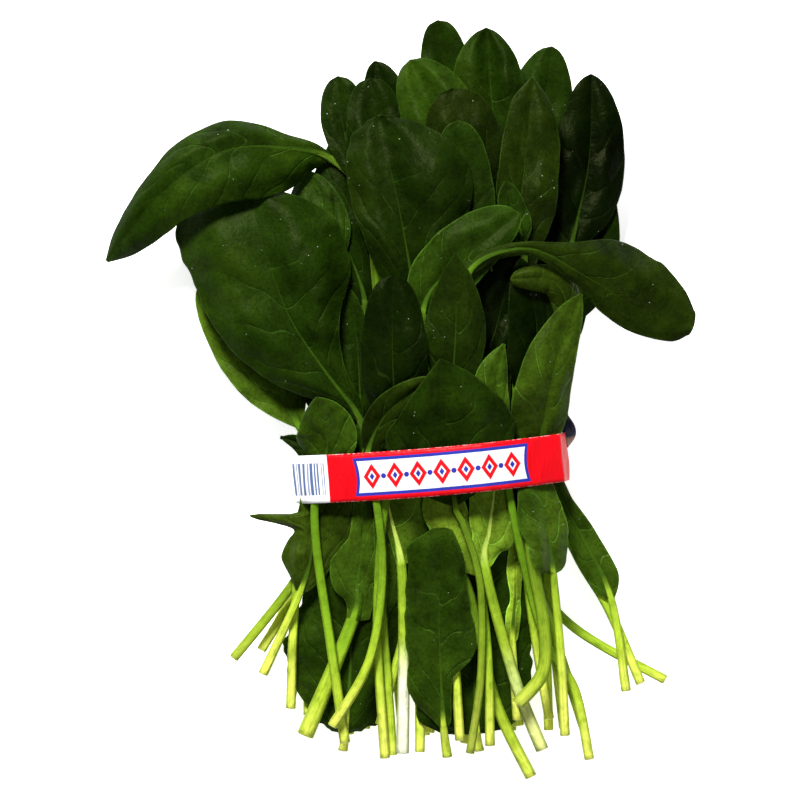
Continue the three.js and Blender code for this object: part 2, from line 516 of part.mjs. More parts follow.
// The band: a closed loop drawn tight round everything that passes through its strip.
function bandSolid(leafMeshes) {
  const half = (BAND.width + BAND.sag) / 2 + 0.4;
  const points = [[-BAND.foot, BAND.wall + BAND.clear], [BAND.foot, BAND.wall + BAND.clear]];
  for (const { position, index } of leafMeshes) {
    const at = (k) => [...inBand(position[3 * k], position[3 * k + 1]), position[3 * k + 2]];
    for (let i = 0; i < index.length; i += 3)
      for (let j = 0; j < 3; j++) {
        const a = at(index[i + j]), b = at(index[i + ((j + 1) % 3)]);
        if (Math.abs(a[1]) <= half) points.push([a[0], a[2]]);
        for (const edge of [-half, half])
          if ((a[1] - edge) * (b[1] - edge) < 0) {
            const k = (edge - a[1]) / (b[1] - a[1]);
            points.push([a[0] + (b[0] - a[0]) * k, a[2] + (b[2] - a[2]) * k]);
          }
      }
  }
  const n = BAND.sides, turn = (2 * Math.PI) / n;
  const angle = (k) => -Math.PI / 2 + k * turn;
  const reach = Array.from({ length: n }, (_, k) =>
    Math.max(...points.map(([x, z]) => x * Math.cos(angle(k)) + z * Math.sin(angle(k)))));
  const ring = (out) => Array.from({ length: n }, (_, k) => {
    const a = angle(k), b = angle(k + 1);
    const h = reach[k] + out, g = reach[(k + 1) % n] + out;
    return [
      (h * Math.sin(b) - g * Math.sin(a)) / Math.sin(turn),
      (g * Math.cos(a) - h * Math.cos(b)) / Math.sin(turn),
    ];
  });
  const inner = ring(BAND.clear), outer = ring(BAND.clear + BAND.wall);
  const wide = Math.max(...outer.map((p) => Math.abs(p[0])));
  const position = [], index = [];
  for (const side of [-1, 1])
    for (const loop of [inner, outer])
      for (const [x, z] of loop)
        position.push(x, (side * BAND.width) / 2 + BAND.sag * ((x / wide) ** 2 - 0.5), z);
  const quad = (a, b, c, d) => index.push(a, b, c, a, c, d);
  for (let k = 0; k < n; k++) {
    const m = (k + 1) % n;
    quad(n + k, 3 * n + k, 3 * n + m, n + m); // outer face
    quad(m, 2 * n + m, 2 * n + k, k); // inner face
    quad(k, n + k, n + m, m); // lower edge
    quad(2 * n + m, 3 * n + m, 3 * n + k, 2 * n + k); // upper edge
  }
  const right = outer.reduce((a, b) => (b[0] > a[0] ? b : a));
  return solid({ position, index }).add(solid(tailMesh(right)));
}

// The short twisted end of the tie, rooted in the band's right side.
function tailMesh([x, z]) {
  const position = [], index = [], steps = 10;
  for (let i = 0; i <= steps; i++) {
    const k = i / steps, spin = k * 3.3;
    const [cx, cy, cz] = [x + 0.1 + 1.2 * Math.sin(2.2 * k), 4 + 14 * k, z - 5 + 2.5 * k];
    const c = Math.cos(spin), s = Math.sin(spin);
    for (const [a, b] of [[-0.5, -3], [0.5, -3], [0.5, 3], [-0.5, 3]])
      position.push(cx + a * c - b * s, cy, cz + a * s + b * c);
  }
  for (let i = 0; i < steps; i++)
    for (let j = 0; j < 4; j++) {
      const [a, b] = [4 * i + j, 4 * i + ((j + 1) % 4)];
      index.push(a, a + 4, b, b, a + 4, b + 4);
    }
  index.push(0, 1, 2, 0, 2, 3);
  const e = 4 * steps;
  index.push(e, e + 2, e + 1, e, e + 3, e + 2);
  return { position, index };
}

function solid({ position, index }) {
  return new wasm.Manifold(new wasm.Mesh({
    numProp: 3, vertProperties: new Float32Array(position), triVerts: new Uint32Array(index),
  }));
}

// ---------------------------------------------------------------- the bunch
const bunch = new THREE.Group();
bunch.name = "spinach_bunch";

function add(name, position, index, color) {
  const geometry = new THREE.BufferGeometry()
    .setAttribute("position", new THREE.BufferAttribute(new Float32Array(position), 3))
    .setIndex(index);
  geometry.computeVertexNormals();
  const mesh = new THREE.Mesh(geometry, new THREE.MeshStandardMaterial({ color, roughness: 0.6 }));
  mesh.name = name;
  bunch.add(mesh);
}

const meshes = LEAVES.map((leaf, i) => {
  const rows = rowsOf(leaf, (i + 0.5) / LEAVES.length, i);
  settle(rows);
  return leafMesh(rows);
});
LEAVES.forEach((leaf, i) => {
  const green = i % 2 ? 0x2f5a16 : 0x3f6f1c;
  add(leaf.name, meshes[i].position, meshes[i].index, green);
});

const band = bandSolid(meshes).getMesh();
add("label_band", Array.from({ length: band.numVert }, (_, i) => {
  const [x, y, z] = band.vertProperties.subarray(i * band.numProp, i * band.numProp + 3);
  const [c, s] = [Math.cos(BAND.turn), Math.sin(BAND.turn)];
  return [BAND.x + x * c - y * s, BAND.y + x * s + y * c, z];
}).flat(), [...band.triVerts], 0xd8141c);

// centre the whole on its own box in plan
const box = new THREE.Box3().setFromObject(bunch);
bunch.position.set(-(box.min.x + box.max.x) / 2, -(box.min.y + box.max.y) / 2, 0);

export default bunch;
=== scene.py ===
"""A bunch of fresh spinach held by one printed band, lying on its back.

Lengths are millimetres in the bunch's own plan (leaf tips to +Y, cut stems to -Y, +Z up) and become
metres where a mesh is made. Each leaf is one closed piece, blade and stem together. It follows the
corners of its CAD solid and adds the fine form: puckers between the veins, the rib, a curled rim.
"""

import math
from types import SimpleNamespace

import bpy
import numpy as np
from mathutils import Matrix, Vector

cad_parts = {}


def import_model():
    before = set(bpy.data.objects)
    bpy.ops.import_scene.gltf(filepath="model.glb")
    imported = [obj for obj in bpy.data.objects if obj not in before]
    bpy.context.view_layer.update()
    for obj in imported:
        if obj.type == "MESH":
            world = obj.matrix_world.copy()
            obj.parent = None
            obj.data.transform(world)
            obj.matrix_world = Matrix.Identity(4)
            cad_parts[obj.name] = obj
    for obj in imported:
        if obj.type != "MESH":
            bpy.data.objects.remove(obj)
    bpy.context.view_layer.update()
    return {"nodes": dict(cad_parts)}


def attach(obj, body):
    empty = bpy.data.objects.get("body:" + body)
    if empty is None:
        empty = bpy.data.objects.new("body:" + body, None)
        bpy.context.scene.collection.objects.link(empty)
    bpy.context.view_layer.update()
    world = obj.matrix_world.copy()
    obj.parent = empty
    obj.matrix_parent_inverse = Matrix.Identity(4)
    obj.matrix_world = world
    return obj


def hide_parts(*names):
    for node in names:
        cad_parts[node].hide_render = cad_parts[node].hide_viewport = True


MM = 0.001

# ------------------------------------------------------------------ driving dimensions
# the CAD leaves
BLADE = 0.8  # thickness of a blade
TIP = 0.8  # half width of a blade at its end
STEM = 1.5  # usual stem radius where the blade starts
STEM_FLARE = 0.32  # how much thicker a stem is at its cut end
STEM_CORNER = 0.866  # how far out the side corners of its six-sided section are, in radii
STEM_PIECE = 15  # length of one straight piece of a stem
RIB_FADE = 0.55  # share of a blade over which its rib thins away
CAD_ROWS = (0.07, 0.2, 0.36, 0.54, 0.71, 0.85, 0.95, 1)  # places of a blade's rows
CAD_ACROSS = (-1, -0.5, 0, 0.5, 1)  # its corners across
SAME_CORNER = 0.05  # how near a plan point the corners over it are

# the fine leaves
SKIN = 0.5  # thickness of a blade
FINE, COARSE = 0.9, 1.7  # mesh spacing of the leaves that show, and of those at the back
STEM_STEP = 2.2  # mesh spacing along a stem
RIB_COLUMNS = 7  # columns over the rib, on each face
CAP_ROWS = 5  # rows of a round tip
TIP_REACH = 0.3  # how far a round tip reaches past the CAD's last row, in half widths there
RIB_TAPER = 0.78  # share of the rib's width lost on its way to the tip
VEIN_PITCH = 16  # distance between side veins along the rib
VEIN_LEAN = 0.42  # most that a side vein runs forward, as a share of the blade's length
VEIN_BEND = 0.55  # how much more it leans forward towards the edge
PILLOW_HIGH, DIMPLE_HIGH = 0.55, 0.75  # heights of the puckers between veins, and of the rest
BROAD_BLADE = 11  # half width from which a blade is as uneven as it gets
RIM_HIGH, RIM_REACH = 1.6, 1.6  # how an edge curls up: its height at rim 1, and how far in it starts
RIB_SINK = 0.4  # depth of the groove over the rib
STEM_GROOVE = 0.22  # depth of the groove along a stem, in radii
TORN_DEEP, TORN_FADE = 18, 8  # how deep the base of a ragged blade is torn, and over what length
RAGGED_WAVES = (37, 17)  # longest waves of an edge line: the large notches and the small
RUFFLE_WAVES = (46, 41)  # longest waves of an edge's height, on the right and on the left
TORN_WAVE = 19  # longest wave of a torn base
CUT_SHARE = 0.8  # size of the ring inside a cut end's rim
CUT_FORWARD, CUT_MIDDLE = 0.25, 0.05  # how far that ring stands forward, and the middle before it
CLEAR = 0.08  # height kept between a fine leaf and the heap under it
RISE_PASSES = 14  # how widely the lift of a leaf that would cut the heap is spread

# the band
BAND_X, BAND_Y = 13.6, -27.8  # its centre in plan
BAND_TURN = math.radians(4.94)
BAND_WIDTH = 19.2
BAND_SKIN = 0.35  # thickness of the printed strip
BAND_SAG = 1.3  # bow of the strip along its length
BAND_CORNER = 51  # where the front turns down on the right
BAND_DRAWN_IN = 0.5  # what is left of the CAD's width beyond that corner
BAND_INSET = 0.25  # how far inside the CAD's outline the strip lies, and how much more at its edges
BAND_AROUND, BAND_ACROSS = 300, 13  # points round it and across its width
BAND_BOTTOM = 0.02  # lowest point of the strip
BAND_FLOOR = 1.3  # height above the table of what lies on the strip
STRIP_EDGE = 1.5  # how far out the corners are that its outline is taken from
STRIP_ROOM = 2  # how far out the heap lies on it, and where the CAD's tie begins
TIE_LENGTH, TIE_WIDTH, TIE_SKIN = 13.5, 5.6, 0.44
TIE_START = 4  # where it comes out of the strip, across its width
TIE_DOWN, TIE_IN = 2.2, 0.8  # how far below and inside the middle of the CAD's tie its middle starts
TIE_RISE, TIE_SWAY = 2.5, 1.2  # how far it climbs and sways to its end
TIE_TURN = 3.3  # how far it is twisted, in radians
TIE_STEPS = 40

# ------------------------------------------------------------------ the leaves
USUAL = dict(half=(12, 12), peak=0.42, neck=0.8, end=0.55, stem=STEM, outline=None, fuller=(0, 0),
             step=FINE, tone=1, warm=0, pale=0, ragged=0.025, ruffle=1, pucker=1, rim=0.3)


def leaf(name, at, blade, **form):
    """A leaf, by what differs from the usual.

    at: plan points from the cut end of the stem to the tip. blade: which of them starts the blade.
    half, peak, neck and end: the widest half widths left and right, where that is, and how the width
    rises and falls. outline: rows of (place, left, right) instead of those. fuller: what a fine blade
    is wider on the left and right. stem: its radius where the blade starts. tone: how light a leaf
    is, from its own colour and from painted light and shade. warm: how brown. pale: how white its
    stalk, partly as painted glare, or below 0 how green. ragged, ruffle and pucker: how uneven its
    edge line, its edge's height and its face are. rim: how far its edge curls up, and how strong the
    painted highlight along it is.
    step: its mesh spacing."""
    return dict(USUAL, name=name, at=at, blade=blade, **form)


def draws(seed):
    """A plain seeded stream of numbers from 0 to 1."""
    while True:
        seed = seed * 16807 % 2147483647
        yield seed / 2147483647


# Three tiers of leaves under the ones that show: count, first and last x, y of the tips, length.
TIERS = ((5, -34, 58, 40, 52), (5, -60, 72, 80, 66), (4, -24, 62, 116, 72))


def back_leaves():
    """The leaves under the ones that show, each tier evenly spread, with drawn unevenness."""
    dice = draws(4127)
    made = []
    for tier, (count, first, last, tip, length) in enumerate(TIERS):
        for i in range(count):
            s = ((i * 3 + tier) % count + 0.5) / count
            a, b, c, d = (next(dice) for _ in range(4))
            end = (first + (last - first) * s, tip + 10 * a - 14 * abs(s - 0.5))
            below, band = (-30 + 86 * s, -76), (-28 + 80 * s + 4 * (b - 0.5), -28)
            base = (band[0] + (end[0] - band[0]) * 0.3, max(-16, end[1] - length))
            middle = (base[0] * 0.45 + end[0] * 0.55 + 6 * (b - 0.5), (base[1] + end[1]) / 2)
            cut = (-36 + 98 * (0.8 * s + 0.2 * c), -122 - 16 * d)
            made.append(leaf(f"leaf_back_{tier + 1}_{i + 1}", (cut, below, band, base, middle, end),
                             blade=3, half=(17 + 6 * c, 17 + 6 * d), end=0.45 + 0.25 * a,
                             step=COARSE, tone=0.5))
    return made


# The leaves that show, from the lowest in the heap to the topmost.
FRONT = (
    leaf("leaf_right_b", ((107, -113), (68, -90), (48, -60), (46, -28), (62, 26), (75, 58), (78, 96)),
         blade=4, half=(13, 13), tone=0.6),
    leaf("leaf_top_b", ((36, -132), (44, -80), (51, -28), (50, 30), (48, 72), (57, 112), (61, 142)),
         blade=4, half=(17, 13), end=0.5, tone=1.05),
    leaf("leaf_right_a", ((97, -114), (84, -84), (71, -62), (57, -28), (62, 20), (68, 58), (76, 96),
                          (77, 131)),
         blade=5, half=(15, 15), tone=0.2),
    leaf("leaf_left_c", ((-44, -120), (-36, -80), (-26, -28), (-18, 10), (-14, 38), (-22, 64), (-28, 88)),
         blade=4, half=(8, 7), tone=0.7),
    leaf("leaf_left_d", ((-56, -101), (-44, -78), (-30, -28), (-26, 20), (-26, 54), (-30, 74), (-38, 92)),
         blade=4, half=(12, 8), fuller=(4, 1), tone=1.7),
    leaf("leaf_left_e", ((-37, -127), (-37, -72), (-35, -30), (-40, -12), (-60, 18), (-81, 46)),
         blade=3, half=(13, 17), peak=0.45, neck=0.9, end=0.6, tone=4.6),
    leaf("leaf_left_f", ((-24, -134), (-20, -80), (-18, -28), (-16, -12), (-17, 20), (-20, 44)),
         blade=3, half=(7, 6), tone=0.95),
    leaf("leaf_left_h", ((-22, -131), (-20, -80), (-13, -30), (-16, -8), (-31, 13), (-44, 33), (-53, 57),
                         (-61, 84)),
         blade=3, tone=1.1, rim=0.35,
         outline=((0.05, 4, 4), (0.12, 7, 5), (0.295, 19, 12), (0.42, 25, 21), (0.55, 29, 29),
                  (0.72, 32, 32), (0.88, 33, 24), (0.96, 30, 13), (1, 16, 5))),
    leaf("leaf_left_g", ((-67, -104), (-46, -78), (-30, -54), (-8, -26), (-8, 10), (-10, 50), (-15, 82),
                         (-28, 97), (-46, 101), (-70, 99), (-94, 83), (-118, 56)),
         blade=7, fuller=(5, 0), tone=1.4, pale=-0.4, pucker=0.7, rim=0,
         outline=((0.07, 9, 3.5), (0.155, 14.5, 5), (0.27, 17, 9), (0.38, 16.5, 12), (0.52, 13, 12),
                  (0.66, 10, 9.6), (0.83, 8, 6.4), (0.94, 4.6, 3.6), (1, 0.8, 0.8))),
    leaf("leaf_left_a", ((-14, -126), (-12, -80), (-4, -28), (-8, 40), (-13, 78), (-22, 106), (-25, 130)),
         blade=4, half=(8.5, 10), peak=0.68, neck=1.2, end=0.45, tone=0.92),
    leaf("leaf_top_c", ((-20, -130), (-14, -80), (-6, -28), (-2, 40), (-1, 84), (-6, 114), (-10, 136)),
         blade=4, half=(9, 12), end=0.5, tone=0.4),
    leaf("leaf_left_b", ((-14, -132), (-8, -80), (1, -28), (-2, 40), (-6, 82), (-9, 108), (-12, 129)),
         blade=4, half=(13, 12), end=0.4, tone=0.58),
    leaf("leaf_top_a", ((12, -134), (20, -80), (29, -28), (30, 40), (28, 86), (20, 122), (15, 152)),
         blade=4, half=(11, 12), end=0.38, tone=0.8),
    leaf("leaf_top_d", ((48, -131), (42, -80), (40, -28), (40, 40), (41, 84), (37, 118), (34.5, 149)),
         blade=4, half=(18, 15), pucker=1.2),
    leaf("leaf_top_e", ((30, -134), (33, -80), (34, -28), (36, 40), (31, 76), (16, 110), (4, 136)),
         blade=4, half=(15, 18), end=0.45, tone=1.9, pucker=0.5, rim=0.1),
    leaf("leaf_top_f", ((14, -128), (16, -80), (19, -28), (24, 36), (28, 78), (25, 102), (21, 124)),
         blade=4, half=(16, 17), end=0.42, tone=0.55, warm=0.4),
    leaf("leaf_right_c", ((26, -138), (38, -80), (46, -28), (46, 30), (46, 60), (50, 96), (53, 128)),
         blade=3, tone=0.9, warm=0.4, pucker=1.1,
         outline=((0.1, 6, 6), (0.3, 9, 10), (0.5, 10, 14.5), (0.68, 10.5, 14), (0.82, 9, 11.5),
                  (0.93, 6.5, 7), (1, 1.5, 1.5))),
    leaf("leaf_centre_a", ((8, -136), (16, -80), (26, -28), (22, 10), (18, 44), (25, 76), (23, 111)),
         blade=4, half=(13, 13), end=0.42, tone=0.95, pucker=0.6, rim=0.8),
    leaf("leaf_centre_big", ((8, -141), (8, -80), (8, -28), (8, 10), (6, 38), (0.5, 72), (-8, 111.5)),
         blade=4, tone=0.65, warm=0.05, rim=0.15,
         outline=((0.06, 8, 8), (0.16, 12, 13), (0.4, 16, 26), (0.6, 18.5, 31), (0.78, 17.5, 27),
                  (0.91, 14, 18), (0.97, 11, 11), (1, 6, 6))),
    leaf("leaf_small_a", ((60, -133), (58, -80), (54, -28), (50, 30), (49, 62), (45, 75), (42, 87)),
         blade=4, half=(6, 6), tone=1.6, rim=0.6),
    leaf("leaf_low_j", ((-23, -141), (-22, -134), (-20, -108), (-19, -60), (-19, -30), (-18, -10)),
         blade=1, fuller=(5.5, 4), tone=1.8, ragged=0.14, ruffle=1.4,
         outline=((0.02, 11, 8), (0.07, 14, 14), (0.13, 20, 15), (0.2, 23, 16), (0.29, 22, 17),
                  (0.37, 17, 17), (0.48, 14, 15), (0.65, 10, 11), (0.85, 6, 6), (1, 1.5, 1.5))),
    leaf("leaf_low_l", ((32, -141), (31, -134), (30, -106), (32, -60), (34, -30), (34, -8)),
         blade=1, fuller=(2, 7), tone=1.6, ragged=0.14, ruffle=1.4,
         outline=((0.02, 17, 13), (0.08, 23, 17), (0.2, 22, 19), (0.34, 17, 18), (0.55, 12, 15),
                  (0.78, 8, 14), (0.9, 5, 8), (1, 1.5, 1.5))),
    leaf("leaf_left_j", ((-44, -124), (-42, -80), (-36, -40), (-35, -27), (-40, -18), (-48, -15)),
         blade=3, half=(3.5, 3.5), end=0.8, tone=0.6),
    leaf("leaf_low_b", ((-55, -110), (-40, -77), (-35, -58), (-33, -32), (-31, -14)),
         blade=1, tone=2.2, warm=0.4,
         outline=((0.07, 6, 5), (0.2, 11.5, 9), (0.32, 10, 13), (0.385, 8, 15), (0.415, 13, 15),
                  (0.44, 24, 15), (0.47, 27, 15), (0.5, 7.5, 15), (0.7, 6, 13), (0.92, 4, 7), (1, 2, 2))),
    leaf("leaf_low_c", ((-38, -134.5), (-19, -88), (-17, -72), (-14, -50), (-11, -28), (-9, -7)),
         blade=1, stem=2.6, tone=3.2, ragged=0.05,
         outline=((0.025, 3, 6.5), (0.1, 5.5, 6.5), (0.19, 11, 6.5), (0.26, 12, 6), (0.34, 8.5, 5.5),
                  (0.41, 5.5, 5), (0.6, 6, 4.5), (0.8, 5, 4), (1, 1.5, 1.5))),
    leaf("leaf_low_g", ((47, -128), (45, -97), (46, -80), (46.5, -62), (49.5, -46), (50, -20)),
         blade=1, tone=19, warm=0.8,
         outline=((0.03, 2.4, 2.4), (0.15, 3.2, 3), (0.22, 2, 2.4), (0.38, 3.6, 3), (0.5, 3, 2.5),
                  (0.65, 1.8, 1.8), (1, 1.5, 1.5))),
    leaf("leaf_low_h", ((91, -117), (85, -80), (75, -58), (66, -42), (60, -25), (62, 0), (66, 22)),
         blade=1, tone=3,
         outline=((0.03, 4.5, 4), (0.09, 6.5, 6.5), (0.2, 7, 6), (0.28, 5, 5.5), (0.35, 5, 5),
                  (0.42, 5.5, 4), (0.56, 5, 4), (0.8, 5, 5), (0.95, 3, 3), (1, 1.5, 1.5))),
    # Two dark leaves laid where the heap is in deep shade, hiding the stems there: their darkness is painted
    # shade.
    leaf("leaf_shadow_a", ((-8, -130), (6, -80), (24, -28), (30, 4), (38, 28), (45, 56)),
         blade=3, half=(12, 11), tone=0.22),
    leaf("leaf_shadow_b", ((60, -128), (52, -80), (48, -28), (50, -4), (54, 14), (54, 34), (48, 56)),
         blade=3, half=(12, 7.5), tone=0.3),
    leaf("leaf_low_k", ((-3, -142), (-5, -110), (-6.5, -87), (-5, -68), (-6, -45), (-6, -20)),
         blade=2, tone=3,
         outline=((0.03, 2.5, 2.2), (0.1, 4, 5), (0.3, 5, 6.5), (0.5, 5, 6.5), (0.8, 4, 4),
                  (1, 1.5, 1.5))),
    leaf("leaf_right_e", ((66, -132), (60, -80), (56, -28), (61, 6), (65.5, 26), (66, 39), (60, 47.5),
                          (44, 48)),
         blade=4, half=(6, 6.5), neck=0.6, end=0.4, tone=2.1, warm=0.5, rim=0),
    leaf("leaf_centre_b", ((24, -136), (20, -80), (13, -28), (9, 34), (24, 54), (47, 74)),
         blade=3, half=(15, 10), end=0.45, tone=1.5, pucker=0.5, rim=0.8),
    leaf("leaf_right_d", ((74, -132), (58, -84), (37, -30), (25, 16), (27, 50), (50, 60), (74, 49),
                          (96, 36), (116, 30)),
         blade=4, tone=1.1, warm=0.4, pucker=0.6, rim=0,
         outline=((0.06, 2.2, 2.8), (0.24, 2.6, 2.8), (0.32, 4, 3.2), (0.4, 8, 3.6), (0.525, 17, 5),
                  (0.66, 21, 9), (0.786, 20.5, 9.5), (0.9, 16.5, 9), (0.97, 10.5, 7), (1, 6, 4.5))),
    leaf("leaf_low_d", ((1, -141), (1.5, -100), (0.5, -66), (-4, -45), (-8, -24)),
         blade=2, stem=2, tone=5.5, pale=0.9,
         outline=((0.05, 2.2, 7), (0.14, 2.6, 12), (0.3, 3, 15), (0.6, 3.5, 15), (0.85, 3, 8),
                  (1, 1.5, 1.5))),
    leaf("leaf_centre_c", ((52.5, -151), (38, -120), (27.5, -77), (20, -58), (19, -30), (20, -2),
                           (22, 28), (22, 58)),
         blade=5, peak=0.45, end=0.9, stem=1.8, tone=0.8, warm=0.2, pucker=0.4),
    leaf("leaf_low_m", ((36, -138), (35, -100), (31.5, -70), (27, -53), (22, -40), (17, -22)),
         blade=2, tone=9.5, warm=0.5, pale=0.4, pucker=0.6,
         outline=((0.06, 6, 2), (0.16, 10, 2.2), (0.4, 14, 3), (0.6, 14, 3.5), (0.8, 9, 4),
                  (1, 1.5, 1.5))),
    leaf("leaf_low_f", ((57, -140), (46, -112), (34, -67), (35.5, -52), (37.5, -37), (40, -8)),
         blade=2, stem=2, tone=13, warm=0.3, pale=0.55, pucker=0.6,
         outline=((0.04, 3, 4), (0.12, 4.5, 7), (0.25, 7.5, 11), (0.38, 9, 10), (0.5, 9.5, 7),
                  (0.75, 8, 7), (1, 1.5, 1.5))),
    leaf("leaf_low_e", ((19, -143), (17.5, -131), (16, -104), (15.5, -80), (17, -52)),
         blade=1, tone=2.1, ragged=0.08,
         outline=((0.03, 3.5, 3), (0.09, 8, 3.5), (0.16, 12, 4), (0.25, 13.5, 5), (0.33, 13.5, 12),
                  (0.42, 13.5, 14.5), (0.6, 13, 12.5), (0.78, 13.5, 10.5), (0.88, 14, 8.5),
                  (0.95, 10.5, 6.5), (1, 5, 4))),
    leaf("leaf_centre_d", ((-6, -143), (-9, -96), (-8, -60), (-4, -28), (-2, -14), (-3, 20), (-3, 49)),
         blade=4, half=(13, 14), end=0.4, tone=0.4, pucker=0.6),
    leaf("leaf_right_f", ((76, -144), (70, -116), (58, -96), (48, -60), (42, -28), (41, -14), (38, 4),
                          (41, 22)),
         blade=5, half=(10, 5), peak=0.4, end=0.8, tone=3.5),
    leaf("leaf_right_g", ((47, -121), (57, -108), (57, -88), (52, -60), (52, -30), (57, -8), (62, 16),
                          (72, 42)),
         blade=4, half=(14, 9), peak=0.35, end=0.7, stem=2.1, tone=3.3, warm=0.2, pale=-0.3, pucker=0.7),
    leaf("leaf_low_i", ((66, -134), (64, -100), (61, -69), (59, -55), (56, -38), (54, -24)),
         blade=2, tone=3.2, ragged=0.1,
         outline=((0.04, 6, 5), (0.12, 8, 6.5), (0.32, 9.5, 8), (0.52, 10.5, 8), (0.75, 9, 6),
                  (0.9, 6, 4), (1, 1.5, 1.5))),
    leaf("leaf_left_i", ((-22, -137), (-27, -102), (-33, -62), (-34, -40), (-31, -28), (-29, -14),
                         (-33, 1)),
         blade=4, half=(8, 9), end=0.6, stem=1.6, fuller=(4.5, 3), tone=3.2),
    leaf("leaf_front_a", ((-27, -130), (-12, -103), (-7, -68), (-10, -36), (-13, -22), (-5, -5), (14, 9)),
         blade=4, half=(7, 9), end=0.7, warm=0.4, rim=0.5),
    leaf("leaf_front_b", ((28, -141), (32, -112), (32.5, -82), (30.5, -66), (25, -49), (22, -42),
                          (19, -16), (16, 16)),
         blade=5, stem=1.3, tone=1.15, pale=-0.6,
         outline=((0.07, 9, 9), (0.17, 16, 16), (0.35, 24, 25), (0.5, 25, 27), (0.65, 18, 24),
                  (0.8, 11, 17), (0.92, 5, 9), (1, 0.8, 0.8))),
)

LEAVES = back_leaves() + list(FRONT)


# ------------------------------------------------------------------ one leaf in plan
class Path:
    """A smooth curve through plan points, measured along its length."""

    PER_SPAN = 24

    def __init__(self, points):
        p = np.array(points, float)
        last = len(p) - 1
        t = (np.arange(self.PER_SPAN) / self.PER_SPAN)[:, None]
        line = []
        for i in range(last):
            before, here, there, after = p[max(i - 1, 0)], p[i], p[i + 1], p[min(i + 2, last)]
            v0, v1 = (there - before) / 2, (after - here) / 2
            line.append((2 * here - 2 * there + v0 + v1) * t**3
                        + (-3 * here + 3 * there - 2 * v0 - v1) * t**2 + v0 * t + here)
        self.line = np.vstack(line + [p[last:]])
        steps = np.linalg.norm(np.diff(self.line, axis=0), axis=1)
        self.length = np.concatenate([[0], np.cumsum(steps)])
        slope = np.gradient(self.line, self.length, axis=0)
        self.slope = slope / np.linalg.norm(slope, axis=1)[:, None]

    def at(self, want):
        """Points, and the CAD's directions, at distances along the curve."""
        d = np.clip(want, 0, self.length[-1])
        i = np.clip(np.searchsorted(self.length, d), 1, len(self.length) - 1)
        k = ((d - self.length[i - 1]) / (self.length[i] - self.length[i - 1]))[:, None]
        point = self.line[i - 1] + (self.line[i] - self.line[i - 1]) * k
        run = self.line[np.minimum(i + 1, len(self.line) - 1)] - self.line[np.maximum(i - 2, 0)]
        return point, run / np.linalg.norm(run, axis=1)[:, None]

    def smooth_at(self, want):
        """Points, and smooth directions, at distances along the curve and a little past its end."""
        d = np.clip(want, 0, self.length[-1])
        slope = np.stack([np.interp(d, self.length, self.slope[:, c]) for c in (0, 1)], 1)
        slope /= np.linalg.norm(slope, axis=1)[:, None]
        point = np.stack([np.interp(d, self.length, self.line[:, c]) for c in (0, 1)], 1)
        return point + slope * (want - d)[:, None], slope


def rightward(run):
    """Directions square to a curve, to its right."""
    return np.stack([run[:, 1], -run[:, 0]], 1)


def hermite(x, xs, ys, steady=False):
    """A smooth curve through the knots (xs, ys), read at x. steady: it never swings past a knot."""
    xs, ys = np.asarray(xs, float), np.asarray(ys, float)
    h = np.diff(xs)
    rise = np.diff(ys, axis=0) / h.reshape(-1, *[1] * (ys.ndim - 1))
    slope = np.empty_like(ys)
    slope[0], slope[-1] = rise[0], rise[-1]
    share = (h[1:] / (h[:-1] + h[1:])).reshape(-1, *[1] * (ys.ndim - 1))
    slope[1:-1] = rise[:-1] * share + rise[1:] * (1 - share)
    if steady:
        turns = rise[:-1] * rise[1:] <= 0
        limit = 2.5 * np.minimum(np.abs(rise[:-1]), np.abs(rise[1:]))
        slope[1:-1] = np.where(turns, 0, np.clip(slope[1:-1], -limit, limit))
    i = np.clip(np.searchsorted(xs, x, side="right") - 1, 0, len(h) - 1)
    shape = (-1, *[1] * (ys.ndim - 1))
    t, w = ((x - xs[i]) / h[i]).reshape(shape), h[i].reshape(shape)
    return (ys[i] * (1 + 2 * t) * (1 - t) ** 2 + slope[i] * w * t * (1 - t) ** 2
            + ys[i + 1] * t**2 * (3 - 2 * t) + slope[i + 1] * w * t**2 * (t - 1))


def hermite_across(rows, t):
    """Heights at places t across each row, from its five corners."""
    knots = np.array(CAD_ACROSS, float)
    gap = knots[1] - knots[0]
    slope = np.gradient(rows, knots, axis=1)
    i = np.clip(np.searchsorted(knots, t, side="right") - 1, 0, len(knots) - 2)
    k = (t - knots[i]) / gap
    here, there = np.take_along_axis(rows, i, axis=1), np.take_along_axis(rows, i + 1, axis=1)
    leaving, coming = np.take_along_axis(slope, i, axis=1), np.take_along_axis(slope, i + 1, axis=1)
    return (here * (1 + 2 * k) * (1 - k) ** 2 + leaving * gap * k * (1 - k) ** 2
            + there * k**2 * (3 - 2 * k) + coming * gap * k**2 * (k - 1))


def outline_of(form, side):
    """Places and half widths of a blade that is given by its outline."""
    rows = [(0, form["stem"], form["stem"]), *form["outline"]]
    return [row[0] for row in rows], [row[side + 1] for row in rows]


def cad_half(form, u, side):
    """Half width of the CAD blade at place u, on the left (0) or the right (1)."""
    if form["outline"]:
        return float(np.interp(u, *outline_of(form, side)))
    wide, peak = form["half"][side], form["peak"]
    if u <= peak:
        return max(form["stem"], wide * math.sin(math.pi / 2 * (u / peak) ** form["neck"]))
    v = (u - peak) / (1 - peak)
    return max(TIP, wide * max(0, 1 - v * v) ** form["end"])


